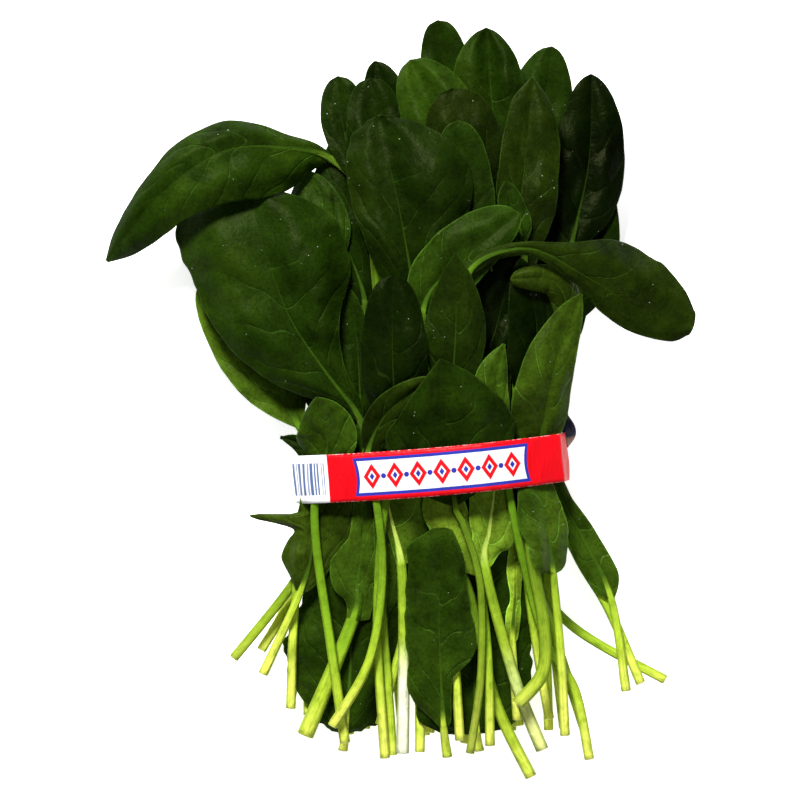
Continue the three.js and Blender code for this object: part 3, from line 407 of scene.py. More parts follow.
def fine_half(form, u, side):
    """Half widths of the fine blade at places u, closing in a round tip past the CAD's last row."""
    if form["outline"]:
        w = hermite(np.minimum(u, 1), *outline_of(form, side), steady=True)
    else:
        wide, peak = form["half"][side], form["peak"]
        rising = wide * np.sin(math.pi / 2 * (np.minimum(u, peak) / peak) ** form["neck"])
        v = np.clip((u - peak) / (1 - peak), 0, 1)
        falling = wide * (1 - v * v) ** form["end"]
        w = np.where(u <= peak, np.maximum(form["stem"], rising), np.maximum(TIP, falling))
    closing = np.clip((u - 1) / tip_share(form), 0, 1)
    return w * np.sqrt(1 - closing**2)


def tip_share(form):
    """How far the round tip reaches past the CAD's last row, as a share of the blade."""
    wide = (cad_half(form, 1, 0) + cad_half(form, 1, 1)) / 2
    return TIP_REACH * wide / form["blade_length"]


def prepare(form):
    """Adds a leaf's curve, where its blade starts, and its lengths."""
    form["path"] = Path(form["at"])
    form["start"] = form["path"].length[Path.PER_SPAN * form["blade"]]
    form["whole"] = form["path"].length[-1]
    form["blade_length"] = form["whole"] - form["start"]


# ------------------------------------------------------------------ heights from the CAD
def cad_plan(form):
    """The CAD's corners in plan: places along and points of the stem's rows, three across, then
    places and points of the blade's rows, five across."""
    path, start = form["path"], form["start"]
    pieces = max(4, math.floor(start / STEM_PIECE + 0.5))
    k = np.arange(pieces + 1) / pieces
    point, run = path.at(start * k)
    reach = form["stem"] * (1 + STEM_FLARE * (1 - k)) * STEM_CORNER
    across = (reach[:, None] * np.array([-1, 0, 1]))[..., None]
    stem_rows = point[:, None] + rightward(run)[:, None] * across
    places = [row[0] for row in form["outline"]] if form["outline"] else CAD_ROWS
    u = np.array(places, float)
    point, run = path.at(start + form["blade_length"] * u)
    width = np.array([[t * cad_half(form, v, int(t > 0)) for t in CAD_ACROSS] for v in u])
    return start * k, stem_rows, u, point[:, None] + rightward(run)[:, None] * width[..., None]


def read_heights(form, node, shift):
    """Middle heights of the CAD leaf, as (places along, heights) of its stem and of its blade."""
    corner = points_of(node)
    s, stem_rows, u, blade_rows = cad_plan(form)

    def over(point):
        far = np.hypot(corner[:, 0] - point[0] - shift[0], corner[:, 1] - point[1] - shift[1])
        near = corner[far < max(SAME_CORNER, far.min() + 0.01), 2]
        return near.max(), near.min()

    stem_z = [sum(over(row[1])) / 2 for row in stem_rows]
    blade_z = []
    for place, row in zip(u, blade_rows):
        ends = [over(p) for p in row]
        z = [(top + low) / 2 for top, low in ends]
        deep = (ends[1][0] - ends[1][1] + ends[3][0] - ends[3][1]) / 4
        rib = max(0, 1 - place / RIB_FADE) * (form["stem"] - BLADE / 2)
        z[2] = ends[2][0] - deep - rib * max(0, 1 - 3 * place)
        blade_z.append(z)
    return s, np.array(stem_z), u, np.array(blade_z)


def points_of(node):
    """The corners of a CAD node, in millimetres."""
    return np.array([v.co for v in node.data.vertices]) / MM


# ------------------------------------------------------------------ the heap of fine leaves
class Heap:
    """Height of what lies under the next leaf, over the plan."""

    CELL = 0.8
    X, Y, COLUMNS, ROWS = -140, -172, 350, 430  # corner of its grid, and how many cells
    STRIP_HALF = 75  # half length of the band that lies on the table

    def __init__(self):
        self.z = np.zeros((self.ROWS, self.COLUMNS))
        y, x = np.mgrid[0:self.ROWS, 0:self.COLUMNS] * self.CELL
        across, along = in_band(x + self.X, y + self.Y)
        strip = (np.abs(along) < BAND_WIDTH / 2 + STRIP_ROOM) & (np.abs(across) < self.STRIP_HALF)
        self.z[strip] = BAND_FLOOR

    def cells(self, x, y):
        """The four cells round each point."""
        i, j = (x - self.X) / self.CELL, (y - self.Y) / self.CELL
        for di in (0, 1):
            for dj in (0, 1):
                yield np.floor(j).astype(int) + dj, np.floor(i).astype(int) + di

    def under(self, x, y):
        """Greatest height of the heap round each point."""
        return np.maximum.reduce([self.z[cell] for cell in self.cells(x, y)])

    def lay(self, x, y, z):
        """Raises the heap to z round each point."""
        for cell in self.cells(x, y):
            np.maximum.at(self.z, cell, z)


def in_band(x, y):
    """A plan point in the band's own frame: along its front, and across its width."""
    c, s = math.cos(BAND_TURN), math.sin(BAND_TURN)
    return (x - BAND_X) * c + (y - BAND_Y) * s, (y - BAND_Y) * c - (x - BAND_X) * s


def out_of_band(x, y, shift):
    """A point in the band's own frame, in the scene's plan."""
    c, s = math.cos(BAND_TURN), math.sin(BAND_TURN)
    return BAND_X + x * c - y * s + shift[0], BAND_Y + x * s + y * c + shift[1]


def spread(rise, passes):
    """Rises smoothed over the grid, never below what they have to be."""
    out = rise.copy()
    for _ in range(passes):
        p = np.pad(out, 1, mode="edge")
        mean = (p[:-2, 1:-1] + p[2:, 1:-1] + p[1:-1, :-2] + p[1:-1, 2:]) / 4
        out = np.maximum(rise, mean)
    return out


def halfway(values):
    """A grid's values with the means of each two neighbours, as one row."""
    down, over = (values[1:] + values[:-1]) / 2, (values[:, 1:] + values[:, :-1]) / 2
    return np.concatenate([part.ravel() for part in (values, down, over)])


def settle(grid, heap):
    """Lifts a leaf where it would lie in the heap, and adds it to the heap."""
    x, y = grid["plan"][..., 0], grid["plan"][..., 1]
    lack = np.maximum(0, heap.under(x, y) + CLEAR - (grid["z"] - grid["below"]))
    stem = slice(0, grid["stem_rows"])
    lack[stem] = lack[stem].max(1)[:, None]
    rise = spread(lack, RISE_PASSES)
    rise[stem] = rise[stem].max(1)[:, None]
    grid["z"] = grid["z"] + rise
    heap.lay(halfway(x), halfway(y), halfway(grid["z"] + grid["over"]))


# ------------------------------------------------------------------ a fine leaf
# The odd numbers in the next two only scatter the waves.
def wobble(s, seed, longest):
    """Smooth unevenness along s, between about -1 and 1, from a few waves."""
    total = 0
    for k in range(1, 5):
        wave = np.sin(2 * math.pi * k * s / longest + 7.3 * seed + 2.7 * k * k)
        total = total + math.sin(12.9 * seed + 4.1 * k) * wave / k
    return total * 0.7


def dimples(s, x, seed):
    """Smooth unevenness over a face, from crossing waves 12 to 34 mm long."""
    total = 0
    for k in range(7):
        turn = 2.4 * k + 1.7 * seed
        length = 12 + 3.7 * ((k * 5) % 7)
        across = s * math.cos(turn) + x * math.sin(turn)
        total = total + np.sin(2 * math.pi * across / length + 5.1 * k + seed) * length / 30
    return total * 0.6


def rows_along(form):
    """A fine leaf's rows: place on the blade (0 on the stem), distance along, and how many are stem."""
    on_stem = max(8, round(form["start"] / STEM_STEP)) + 1
    on_blade = max(12, round(form["blade_length"] / form["step"]))
    cap = np.sin(np.linspace(0, math.pi / 2, CAP_ROWS + 1)[1:]) * tip_share(form)
    u = np.concatenate([np.zeros(on_stem), np.linspace(0, 1, on_blade + 1)[1:], 1 + cap])
    stem = np.linspace(0, form["start"], on_stem)
    return u, np.concatenate([stem, form["start"] + u[on_stem:] * form["blade_length"]]), on_stem


def half_widths(form, u, s, rib, seed):
    """Half widths of the fine leaf on the left and right, with its ragged edge line."""
    wide = []
    for side in (0, 1):
        w = fine_half(form, u, side) + form["fuller"][side] * np.sin(math.pi * np.clip(u, 0, 1))
        large, small = (wobble(s, seed + side + 7 * k, RAGGED_WAVES[k]) for k in (0, 1))
        notch = large + 0.3 * small
        w = w * (1 + form["ragged"] * notch * np.clip(u * 5, 0, 1))
        wide.append(np.where(u > 0, np.maximum(w, rib * 0.2), rib))
    return wide


def columns_across(wide, rib_x, wing):
    """Distances from the rib of each row's columns: the left wing's, the rib's and the right wing's."""
    share = np.linspace(0, 1, wing + 1)[1:]
    q = np.sin(np.linspace(-math.pi / 2, math.pi / 2, RIB_COLUMNS))
    left = -(rib_x[:, None] + (wide[0] - rib_x)[:, None] * share[::-1])
    right = rib_x[:, None] + (wide[1] - rib_x)[:, None] * share
    return np.hstack([left, rib_x[:, None] * q, right])


def middle_heights(form, heights, u, s, t):
    """The CAD leaf's middle surface made smooth, at places t across every row."""
    stem_s, stem_z, knots, knot_z = heights
    lengths = np.concatenate([stem_s, form["start"] + knots * form["blade_length"]])
    centre = hermite(np.minimum(s, form["whole"]), lengths, np.concatenate([stem_z, knot_z[:, 2]]))
    base = np.full((1, len(CAD_ACROSS)), stem_z[-1])
    across = hermite(np.clip(u, 0, 1), np.concatenate([[0], knots]), np.vstack([base, knot_z]))
    across[:, 2] = centre
    z = hermite_across(across, t)
    z[u <= 0] = centre[u <= 0][:, None]
    return z


def vein_phase(form, u, s, x, t, peak, count, seed):
    """Counts the side veins along the blade: a point on a vein has a whole number."""
    a = np.abs(t)
    lean = min(VEIN_LEAN, (0.8 + 0.2 * math.sin(5 * seed)) * peak / form["blade_length"])
    return (count * (u - lean * (a + VEIN_BEND * a * a)) + 0.25 * np.tanh(8 * t)
            + 0.16 * np.sin(6 * u + 4 * t + seed) + 0.1 * dimples(s, x, seed + 2))


def uneven(z, form, u, s, x, t, wide, margin, phase, seed):
    """Heights z with puckers between the veins, a ruffled and curled edge and a groove over the rib."""
    a, on_blade = np.abs(t), np.clip(u, 0, 1)
    body = np.clip(np.minimum(*wide) / BROAD_BLADE, 0, 1)[:, None] * np.sin(math.pi * on_blade) ** 0.5
    before_tip = np.clip((0.95 - on_blade) / 0.2, 0, 1)
    pillow = np.abs(np.sin(math.pi * phase)) ** 0.8 * np.sin(math.pi * np.clip(a, 0, 1)) ** 0.7
    z = z + form["pucker"] * PILLOW_HIGH * body * before_tip * (pillow - 0.4)
    z = z + form["pucker"] * DIMPLE_HIGH * body * dimples(s, x, seed) * np.clip(a * 4, 0, 1)
    right, left = RUFFLE_WAVES
    edge = wobble(s, seed + 3, right) * (t > 0) + wobble(s, seed + 5, left) * (t <= 0)
    z = z + form["ruffle"] * edge * a**3 * body
    z = z + form["rim"] * RIM_HIGH * np.exp(-margin / RIM_REACH) * body
    over_rib = np.exp(-(x / (0.6 * form["stem"])) ** 2)
    return z - RIB_SINK * over_rib * np.clip(u * 8, 0, 1) * (1 - on_blade)


def depths(form, u, s, x, t, rib, rib_x):
    """How far the leaf reaches above and below its middle surface."""
    stem, stem_row = form["stem"], u <= 0
    round_rib = np.sqrt(np.clip(1 - (x / rib_x) ** 2, 0, 1))
    skin = SKIN / 2 * (1 - 0.6 * t**4) * np.clip(u * 30, 0, 1)
    on_top = np.clip(1 - 4 * u, 0, 1)
    over = rib * round_rib * np.where(stem_row, 1, on_top**1.5)
    groove = STEM_GROOVE * stem * np.exp(-(x / (0.45 * stem)) ** 2)
    over = over - groove * on_top * np.clip(s / 4, 0, 1)
    below = stem * round_rib * np.where(stem_row, rib / stem, np.clip(1 - u / 0.7, 0, 1))
    return np.maximum(over, 0) + skin, below + skin


def leaf_grid(form, heights, seed):
    """The fine leaf as rows by columns: plan points, heights, and what the finish reads."""
    u, s, stem_rows = rows_along(form)
    flare = 1 + STEM_FLARE * (1 - s / form["start"])
    rib = form["stem"] * np.where(u > 0, 1 - RIB_TAPER * np.clip(u, 0, 1), flare)
    wide = half_widths(form, u, s, rib, seed)
    peak = max(np.max(wide[0]), np.max(wide[1]))
    wing = max(3, round(peak / form["step"]))
    rib_x = np.minimum(rib, np.minimum(*wide))
    x = columns_across(wide, rib_x, wing)
    left, right = wide[0][:, None], wide[1][:, None]
    t = np.where(x < 0, x / left, x / right)
    margin = np.where(x < 0, left + x, right - x)
    z = middle_heights(form, heights, u, s, t)

    point, run = form["path"].smooth_at(s)
    torn = form["ragged"] * TORN_DEEP * wobble(x, seed + 9, TORN_WAVE)
    torn = torn * np.clip((np.abs(x) - form["stem"]) / 4, 0, 1)
    torn = torn * np.where(u > 0, np.exp(-(s - form["start"]) / TORN_FADE), 0)[:, None]
    plan = point[:, None] + rightward(run)[:, None] * x[..., None] + run[:, None] * torn[..., None]

    u_row, s_row = u[:, None], s[:, None]
    count = max(3, round(form["blade_length"] / VEIN_PITCH))
    phase = vein_phase(form, u_row, s_row, x, t, peak, count, seed)
    z = uneven(z, form, u_row, s_row, x, t, wide, margin, phase, seed)
    over, below = depths(form, u_row, s_row, x, t, rib[:, None], rib_x[:, None])
    return dict(plan=plan, z=z, over=over, below=below, u=u, s=s, x=x, phase=phase,
                pitch=form["blade_length"] / count, edge=margin, stem_rows=stem_rows, wing=wing)


# ------------------------------------------------------------------ meshes
def make_piece(name, points, faces, finish, uv=None, facts=None):
    """A named piece with one material. points: millimetres. facts: numbers its finish reads."""
    mesh = bpy.data.meshes.new(name)
    mesh.from_pydata(np.asarray(points) * MM, [], faces)
    mesh.polygons.foreach_set("use_smooth", np.ones(len(mesh.polygons), bool))
    if uv:
        layer = mesh.uv_layers.new(name="OFBake")
        layer.data.foreach_set("uv", np.array(uv, np.float32).ravel() * 0.98 + 0.01)
    for fact, values in (facts or {}).items():
        attribute = mesh.attributes.new(fact, "FLOAT", "POINT")
        attribute.data.foreach_set("value", np.broadcast_to(values, len(mesh.vertices)).astype(np.float32))
    mesh.materials.append(finish)
    piece = bpy.data.objects.new(name, mesh)
    bpy.context.scene.collection.objects.link(piece)
    return piece


def add_cut_end(rings, facts):
    """Closes the stem: a smaller ring set a little forward of the first one, and its middle."""
    first = rings[0].mean(0)
    ahead = (rings[0] - rings[1]).mean(0)
    forward = ahead / np.linalg.norm(ahead)
    inner = first + (rings[0] - first) * CUT_SHARE + forward * CUT_FORWARD
    middle = np.broadcast_to(inner.mean(0) + forward * CUT_MIDDLE, inner.shape)
    for name, values in facts.items():
        lead = np.full((2, values.shape[1]), -1.0) if name == "along" else values[:1].repeat(2, 0)
        facts[name] = np.concatenate([lead, values])
    return np.concatenate([middle[None], inner[None], rings])


def point_numbers(rows, columns, wing, stem_rows):
    """Which point each corner of the rings is. On the stem a wing is drawn together in one point, and
    so are the cut end's middle and the tip."""
    number = np.arange(rows * 2 * columns).reshape(rows, 2 * columns)
    stem = slice(0, stem_rows)
    left, right = wing, columns - 1 - wing
    number[stem, :left + 1] = number[stem, left:left + 1]
    number[stem, right:columns] = number[stem, right:right + 1]
    number[stem, columns:columns + wing + 1] = number[stem, right:right + 1]
    number[stem, 2 * columns - 1 - wing:] = number[stem, left:left + 1]
    number[0] = number[0, 0]
    number[-1] = number[-1, 0]
    return number


def ring_faces(number):
    """Faces between the rings, and their map corners, without the sides that are drawn together."""
    rows, around = number.shape
    faces, uv = [], []
    for r in range(rows - 1):
        for c in range(around):
            d = (c + 1) % around
            ids = [number[r, c], number[r, d], number[r + 1, d], number[r + 1, c]]
            if len(set(ids)) < 3:
                continue
            corners = ((r, c), (r, c + 1), (r + 1, c + 1), (r + 1, c))
            keep = [j for j in range(4) if ids[j] != ids[j - 1]]
            faces.append([ids[j] for j in keep])
            uv += [(corners[j][0] / (rows - 1), corners[j][1] / around) for j in keep]
    return faces, uv


def leaf_piece(form, grid, shift, index, finish):
    """The closed mesh of a leaf: rings round its section, from the cut end to the tip."""
    def ring(top, low):
        return np.concatenate([top, low[:, ::-1]], 1)

    rows, columns = grid["z"].shape
    x, y = grid["plan"][..., 0] + shift[0], grid["plan"][..., 1] + shift[1]
    rings = np.stack([ring(x, x), ring(y, y),
                      ring(grid["z"] + grid["over"], grid["z"] - grid["below"])], -1)
    facts = dict(along=np.repeat(grid["s"][:, None], 2 * columns, 1),
                 place=np.repeat(grid["u"][:, None], 2 * columns, 1),
                 across=ring(grid["x"], grid["x"]), vein=ring(grid["phase"], grid["phase"]),
                 edge=ring(grid["edge"], grid["edge"]),
                 under=ring(np.zeros((rows, columns)), np.ones((rows, columns))))
    rings = add_cut_end(rings, facts)
    number = point_numbers(rows + 2, columns, grid["wing"], grid["stem_rows"] + 2)
    points = rings.reshape(-1, 3).copy()
    points[number[-1, 0]] = rings[-1].mean(0)
    used, small = np.unique(number, return_inverse=True)
    faces, uv = ring_faces(small.reshape(number.shape))
    facts = {name: values.ravel()[used] for name, values in facts.items()}
    facts.update(tone=form["tone"], warm=form["warm"], pale=form["pale"], girth=form["stem"],
                 rim=form["rim"], pitch=grid["pitch"], seed=index)
    return make_piece(form["name"] + "_fine", points[used], faces, finish, uv, facts)


# ------------------------------------------------------------------ the band
def band_outline(node, shift):
    """The CAD strip's corners, along the band's front and in height, with its right wall drawn in."""
    v = points_of(node)
    across, along = in_band(v[:, 0] - shift[0], v[:, 1] - shift[1])
    strip = np.abs(along) < BAND_WIDTH / 2 + STRIP_EDGE
    x = across[strip]
    x = np.where(x > BAND_CORNER, BAND_CORNER + (x - BAND_CORNER) * BAND_DRAWN_IN, x)
    return x, v[strip, 2]


def smooth_loop(x, z, count):
    """The convex outline of points (x, z), rounded, as count points evenly spaced round it, and its
    length."""
    points = sorted(set(zip(np.round(x, 2), np.round(z, 2))))

    def half(points):
        chain = []
        for p in points:
            while len(chain) > 1 and ((chain[-1][0] - chain[-2][0]) * (p[1] - chain[-2][1])
                                      - (chain[-1][1] - chain[-2][1]) * (p[0] - chain[-2][0])) <= 0:
                chain.pop()
            chain.append(p)
        return chain[:-1]

    hull = np.array(half(points) + half(points[::-1]))
    for _ in range(3):  # cut the corners
        after = np.roll(hull, -1, axis=0)
        hull = np.stack([hull * 0.75 + after * 0.25, hull * 0.25 + after * 0.75], 1).reshape(-1, 2)
    closed = np.vstack([hull, hull[:1]])
    length = np.concatenate([[0], np.cumsum(np.linalg.norm(np.diff(closed, axis=0), axis=1))])
    want = np.arange(count) * length[-1] / count
    return np.stack([np.interp(want, length, closed[:, c]) for c in (0, 1)], 1), length[-1]


def from_front(loop, girth):
    """The loop turned to start in the middle of the front and run to the right, the distance of each
    point from there, and the outward directions."""
    front = np.argmax(loop[:, 1] - 1000 * (np.abs(loop[:, 0]) > 2))  # the highest near the middle
    loop = np.roll(loop, -front, axis=0)
    if loop[1, 0] < loop[0, 0]:
        loop = np.roll(loop[::-1], 1, axis=0)
    arc = np.arange(len(loop)) * girth / len(loop)
    arc = np.where(arc > girth / 2, arc - girth, arc)
    tangent = np.roll(loop, -1, axis=0) - np.roll(loop, 1, axis=0)
    tangent /= np.linalg.norm(tangent, axis=1)[:, None]
    return loop, arc, np.stack([-tangent[:, 1], tangent[:, 0]], 1)


def crumple(arc, k):
    """Small waves of the strip's face: arc is the distance round it, k runs from -1 to 1 across it."""
    long_waves = 0.16 * np.sin(arc / 4.1 + 2.2 * k) * np.sin(arc / 17 + 1)
    return long_waves + 0.1 * np.sin(arc / 2.3 - 3 * k)


def band_piece(node, shift, finish):
    """The printed strip: a thin closed loop, a little rippled, that follows the CAD's outline."""
    loop, arc, outward = from_front(*smooth_loop(*band_outline(node, shift), BAND_AROUND))
    wide = np.abs(loop[:, 0]).max()
    over = np.linspace(-1, 1, BAND_ACROSS)
    layers = [(k, 0.0) for k in over] + [(k, BAND_SKIN) for k in over[::-1]]
    rings = []
    for k, depth in layers:
        out = -BAND_INSET - depth + crumple(arc, k) - BAND_INSET * k * k
        px, pz = loop[:, 0] + outward[:, 0] * out, loop[:, 1] + outward[:, 1] * out
        py = k * BAND_WIDTH / 2 + BAND_SAG * ((px / wide) ** 2 - 0.5)
        rings.append(np.stack([*out_of_band(px, py, shift), np.maximum(pz, BAND_BOTTOM + depth)], 1))
    rows, n = len(rings), BAND_AROUND
    faces, uv = [], []
    for r in range(rows):
        q = (r + 1) % rows
        for i in range(n):
            j = (i + 1) % n
            faces.append((r * n + i, r * n + j, q * n + j, q * n + i))
            uv += [(i / n, r / rows), ((i + 1) / n, r / rows),
                   ((i + 1) / n, (r + 1) / rows), (i / n, (r + 1) / rows)]
    facts = dict(round=np.tile(arc, rows), over=np.repeat([k * BAND_WIDTH / 2 for k, _ in layers], n))
    return make_piece("band_strip", np.vstack(rings), faces, finish, uv, facts)


def tie_piece(node, shift, finish):
    """The twisted end of the tie, which stands out of the band's right side."""
    v = points_of(node)
    across, along = in_band(v[:, 0] - shift[0], v[:, 1] - shift[1])
    beyond = along > BAND_WIDTH / 2 + STRIP_ROOM
    root_x, root_z = across[beyond].mean() - TIE_IN, v[beyond, 2].mean() - TIE_DOWN
    over = (-1, -0.34, 0.34, 1)  # corners across its width
    section = [(-TIE_SKIN / 2, b) for b in over] + [(TIE_SKIN / 2, b) for b in over[::-1]]
    around = len(section)
    points, step = [], []
    for i in range(TIE_STEPS + 1):
        k = i / TIE_STEPS
        c, s = math.cos(k * TIE_TURN), math.sin(k * TIE_TURN)
        middle_x, middle_z = root_x + TIE_SWAY * math.sin(2.2 * k), root_z + TIE_RISE * k
        y = TIE_START + TIE_LENGTH * k
        for a, b in section:
            p, q = a + 0.5 * b * b * math.sin(3 * k), b * TIE_WIDTH / 2  # its edges curl over
            points.append((*out_of_band(middle_x + p * c - q * s, y, shift), middle_z + p * s + q * c))
            step.append(k)
    faces = []
    for i in range(0, around * TIE_STEPS, around):
        for j in range(around):
            a, b = i + j, i + (j + 1) % around
            faces.append((a, b, b + around, a + around))
    faces += [tuple(range(around - 1, -1, -1)), tuple(around * TIE_STEPS + j for j in range(around))]
    return make_piece("band_tie_end", points, faces, finish, facts=dict(step=step))


# ------------------------------------------------------------------ finishes
class Value:
    """One socket of a finish. Arithmetic on it adds Math nodes."""

    def __init__(self, finish, socket):
        self.finish, self.socket = finish, socket

    def maths(self, operation, *values):
        return self.finish.node("ShaderNodeMath", dict(operation=operation), values)

    def __add__(self, other):
        return self.maths("ADD", self, other)

    def __sub__(self, other):
        return self.maths("SUBTRACT", self, other)

    def __rsub__(self, other):
        return self.maths("SUBTRACT", other, self)

    def __mul__(self, other):
        return self.maths("MULTIPLY", self, other)

    def __truediv__(self, other):
        return self.maths("DIVIDE", self, other)

    def __pow__(self, other):
        return self.maths("POWER", self, other)

    __radd__, __rmul__ = __add__, __mul__

    def abs(self):
        return self.maths("ABSOLUTE", self)

    def sine(self):
        return self.maths("SINE", self)

    def nearest(self):
        """Distance to the nearest whole number."""
        return (self.maths("FRACT", self + 0.5) - 0.5).abs()

    def lower(self, other):
        return self.maths("MINIMUM", self, other)

    def upper(self, other):
        return self.maths("MAXIMUM", self, other)

    def between(self, low, high):
        """0 at low, 1 at high, with a soft change between."""
        return self.finish.node("ShaderNodeMapRange", dict(interpolation_type="SMOOTHSTEP"),
                                [self, low, high, 0, 1])

    def beyond(self, edge, soft=0.1):
        """0 short of an edge and 1 past it, with a soft change over it."""
        return (self - edge).between(-soft, soft)


class Finish:
    """A material made of nodes round one Principled shader."""

    NOISE_ROUGH = 0.55

    def __init__(self, name, colour):
        self.material = bpy.data.materials.new(name)
        self.material.use_nodes = True
        self.material.diffuse_color = (*colour, 1)
        self.tree = self.material.node_tree
        self.shader = self.tree.nodes["Principled BSDF"]

    def node(self, kind, settings=None, values=(), output=0):
        """Adds a node. settings: its own, or a ramp's stops, as places and colours. values: what goes in,
        by the input's name or number."""
        made = self.tree.nodes.new(kind)
        for name, setting in (settings or {}).items():
            if name == "stops":
                elements = made.color_ramp.elements
                for _ in setting[2:]:  # a ramp has two to start with
                    elements.new(1)
                for element, (place, colour) in zip(elements, setting):
                    element.position, element.color = place, (*colour, 1)
            else:
                setattr(made, name, setting)
        for key, value in values.items() if isinstance(values, dict) else enumerate(values):
            self.feed(made.inputs[key], value)
        return Value(self, made.outputs[output])

    def feed(self, socket, value):
        """Links a Value to a socket, or sets a constant on it."""
        if isinstance(value, Value):
            self.tree.links.new(value.socket, socket)
        elif isinstance(value, tuple) and len(socket.default_value) == 4:
            socket.default_value = (*value, 1)
        else:
            socket.default_value = value

    def fact(self, name):
        """A number kept on the piece's points."""
        return self.node("ShaderNodeAttribute", dict(attribute_name=name), output=2)

    def point(self, x, y, z):
        """A place to read a pattern at."""
        return self.node("ShaderNodeCombineXYZ", values=[x, y, z])

    def noise(self, where, scale, detail):
        """Soft unevenness from about 0.2 to 0.8."""
        return self.node("ShaderNodeTexNoise", values={"Vector": where, "Scale": scale, "Detail": detail,
                                                       "Roughness": self.NOISE_ROUGH})

    def cells(self, where, scale, feature="DISTANCE_TO_EDGE"):
        """Distance to the walls of random cells, or with "F1" to their middles."""
        return self.node("ShaderNodeTexVoronoi", dict(feature=feature), {"Vector": where, "Scale": scale})

    def mix(self, share, under, over, how="MIX"):
        """One colour over another."""
        return self.node("ShaderNodeMix", dict(data_type="RGBA", blend_type=how),
                         {0: share, 6: under, 7: over}, output=2)

    def ramp(self, value, *stops):
        """Colours by value. stops: places and colours."""
        return self.node("ShaderNodeValToRGB", dict(stops=stops), [value])

    def bump(self, height, strength, depth):
        return self.node("ShaderNodeBump", values={"Strength": strength, "Distance": depth, "Height": height})

    def done(self, **sockets):
        """Feeds the shader. _ stands for a space in the name of an input."""
        for name, value in sockets.items():
            self.feed(self.shader.inputs[name.replace("_", " ")], value)
        return self.material


# ------------------------------------------------------------------ leaf and stalk
LEAF_GREEN = (0.0078, 0.022, 0.0009)  # an ordinary blade, of tone 1
FRESH_GREEN = (0.0115, 0.022, 0.0012)  # the lightest blades
OLIVE = (0.0145, 0.021, 0.0013)
VEIN_AND_RIM_HIGHLIGHT_GREEN = (0.036, 0.085, 0.008)
RIB_GREEN = (0.040, 0.092, 0.006)
RIB_PALE = (0.42, 0.55, 0.09)
STALK_GREEN = (0.05, 0.10, 0.008)
STALK_LEAFY = (0.10, 0.18, 0.010)
STALK_FRESH = (0.26, 0.41, 0.022)
STALK_LIME = (0.50, 0.66, 0.045)
STALK_PALE_AND_GLARE = (0.82, 0.88, 0.13)
STALK_GLARE_WHITE = (0.96, 0.97, 0.70)
STALK_VIVID = (0.17, 0.40, 0.008)
CUT_PALE = (0.95, 0.96, 0.55)
FIBRE_GREEN = (0.11, 0.18, 0.010)
SCAR_BROWN = (0.20, 0.12, 0.03)
DROP_GLINT_WHITE = (0.60, 0.70, 0.55)
LEAF_TINT = (0.85, 1.0, 0.4)  # of a leaf's highlights
STALK_LENGTH = 120.0  # distance from the cut end over which a stalk's colour runs out

# Pairs are where a soft change starts and ends: places on the blade, or millimetres.
BLADE_STARTS, VEINS_END, RIB_ENDS = (0.005, 0.05), (0.55, 0.8), (0.38, 0.85)
VEIN_LINE, VEIN_GROOVE_AND_SHADE, RIM_HIGHLIGHT_LINE = (0.12, 0.5), (0.1, 1.8), (0.15, 0.75)
VEIN_WANDER = 0.22  # how much a side vein wanders, in pitches
VEIN_REACH = 26  # how far from the rib side veins have faded away
NET_SCALE, NET_LINE = 0.27, (0.0, 0.07)  # the net of fine veins, in cells for each millimetre
DROP_SCALE, DROP_SIZE = 0.28, (0.05, 0.10)  # drops of water, in the same way
THIN_RIB, THICK_STEM = 0.2, 1.6  # half width of a rib's line at the tip, and most girth it goes by


def leaf_facts(f):
    """What the points of a leaf say, and the noises that several marks share."""
    names = "along place across vein pitch edge rim tone warm pale seed under girth"
    spot = SimpleNamespace(**{name: f.fact(name) for name in names.split()})
    spot.where = f.point(spot.along, spot.across, spot.seed * 31)
    spot.broad, spot.middling = f.noise(spot.where, 0.03, 4), f.noise(spot.where, 0.13, 3)
    spot.grain = f.noise(spot.where, 0.8, 4)
    spot.fibre = f.noise(f.point(spot.along * 0.03, spot.across * 2.2, spot.seed * 13), 1.0, 3)
    spot.blotch = f.noise(f.point(spot.along * 0.15, spot.across * 0.4, spot.seed * 7), 1.0, 2)
    spot.blade = spot.place.between(*BLADE_STARTS)
    spot.white = spot.pale.upper(0)
    return spot


def leaf_marks(f, spot):
    """Adds where the side veins, the net between them, the rib, the painted highlight along the rim and the
    drops of water with their painted glints are.
    """
    wander = (f.noise(spot.where, 0.12, 2) - 0.5) * VEIN_WANDER
    off_vein = (spot.vein + wander).nearest() * spot.pitch
    not_tip = spot.blade * (1 - spot.place.between(*VEINS_END))
    fade = 1 - (spot.across.abs() / VEIN_REACH).between(0.3, 1)
    fade = fade * spot.middling.between(0.3, 0.6) * not_tip
    spot.side_vein = (1 - off_vein.between(*VEIN_LINE)) * fade
    spot.hollow = (1 - off_vein.between(*VEIN_GROOVE_AND_SHADE)) * not_tip
    spot.net = (1 - f.cells(spot.where, NET_SCALE).between(*NET_LINE)) * spot.blade

    narrow = (1 - spot.place).upper(0)
    share = narrow * (0.8 * narrow * narrow * narrow + 0.4 * spot.white)
    rib_width = THIN_RIB + spot.girth.lower(THICK_STEM) * share
    spot.rib = (1 - (spot.across.abs() / rib_width).between(0.5, 1.1)) * (1 - spot.place.between(*RIB_ENDS))
    spot.rim_line = (1 - spot.edge.between(*RIM_HIGHLIGHT_LINE)) * spot.blade * (0.25 + spot.rim)
    rib_share = 1 - (0.6 - 0.6 * spot.white) * spot.place.between(0.1, 0.4)
    spot.wing = (1 - spot.rib * rib_share) * spot.place.between(0.0, 0.004)

    drop = 1 - f.cells(spot.where, DROP_SCALE, "F1").between(*DROP_SIZE)
    some = f.noise(spot.where, 0.08, 1).between(0.55, 0.6)
    spot.drop = drop * some * spot.blade * (1 - spot.under)


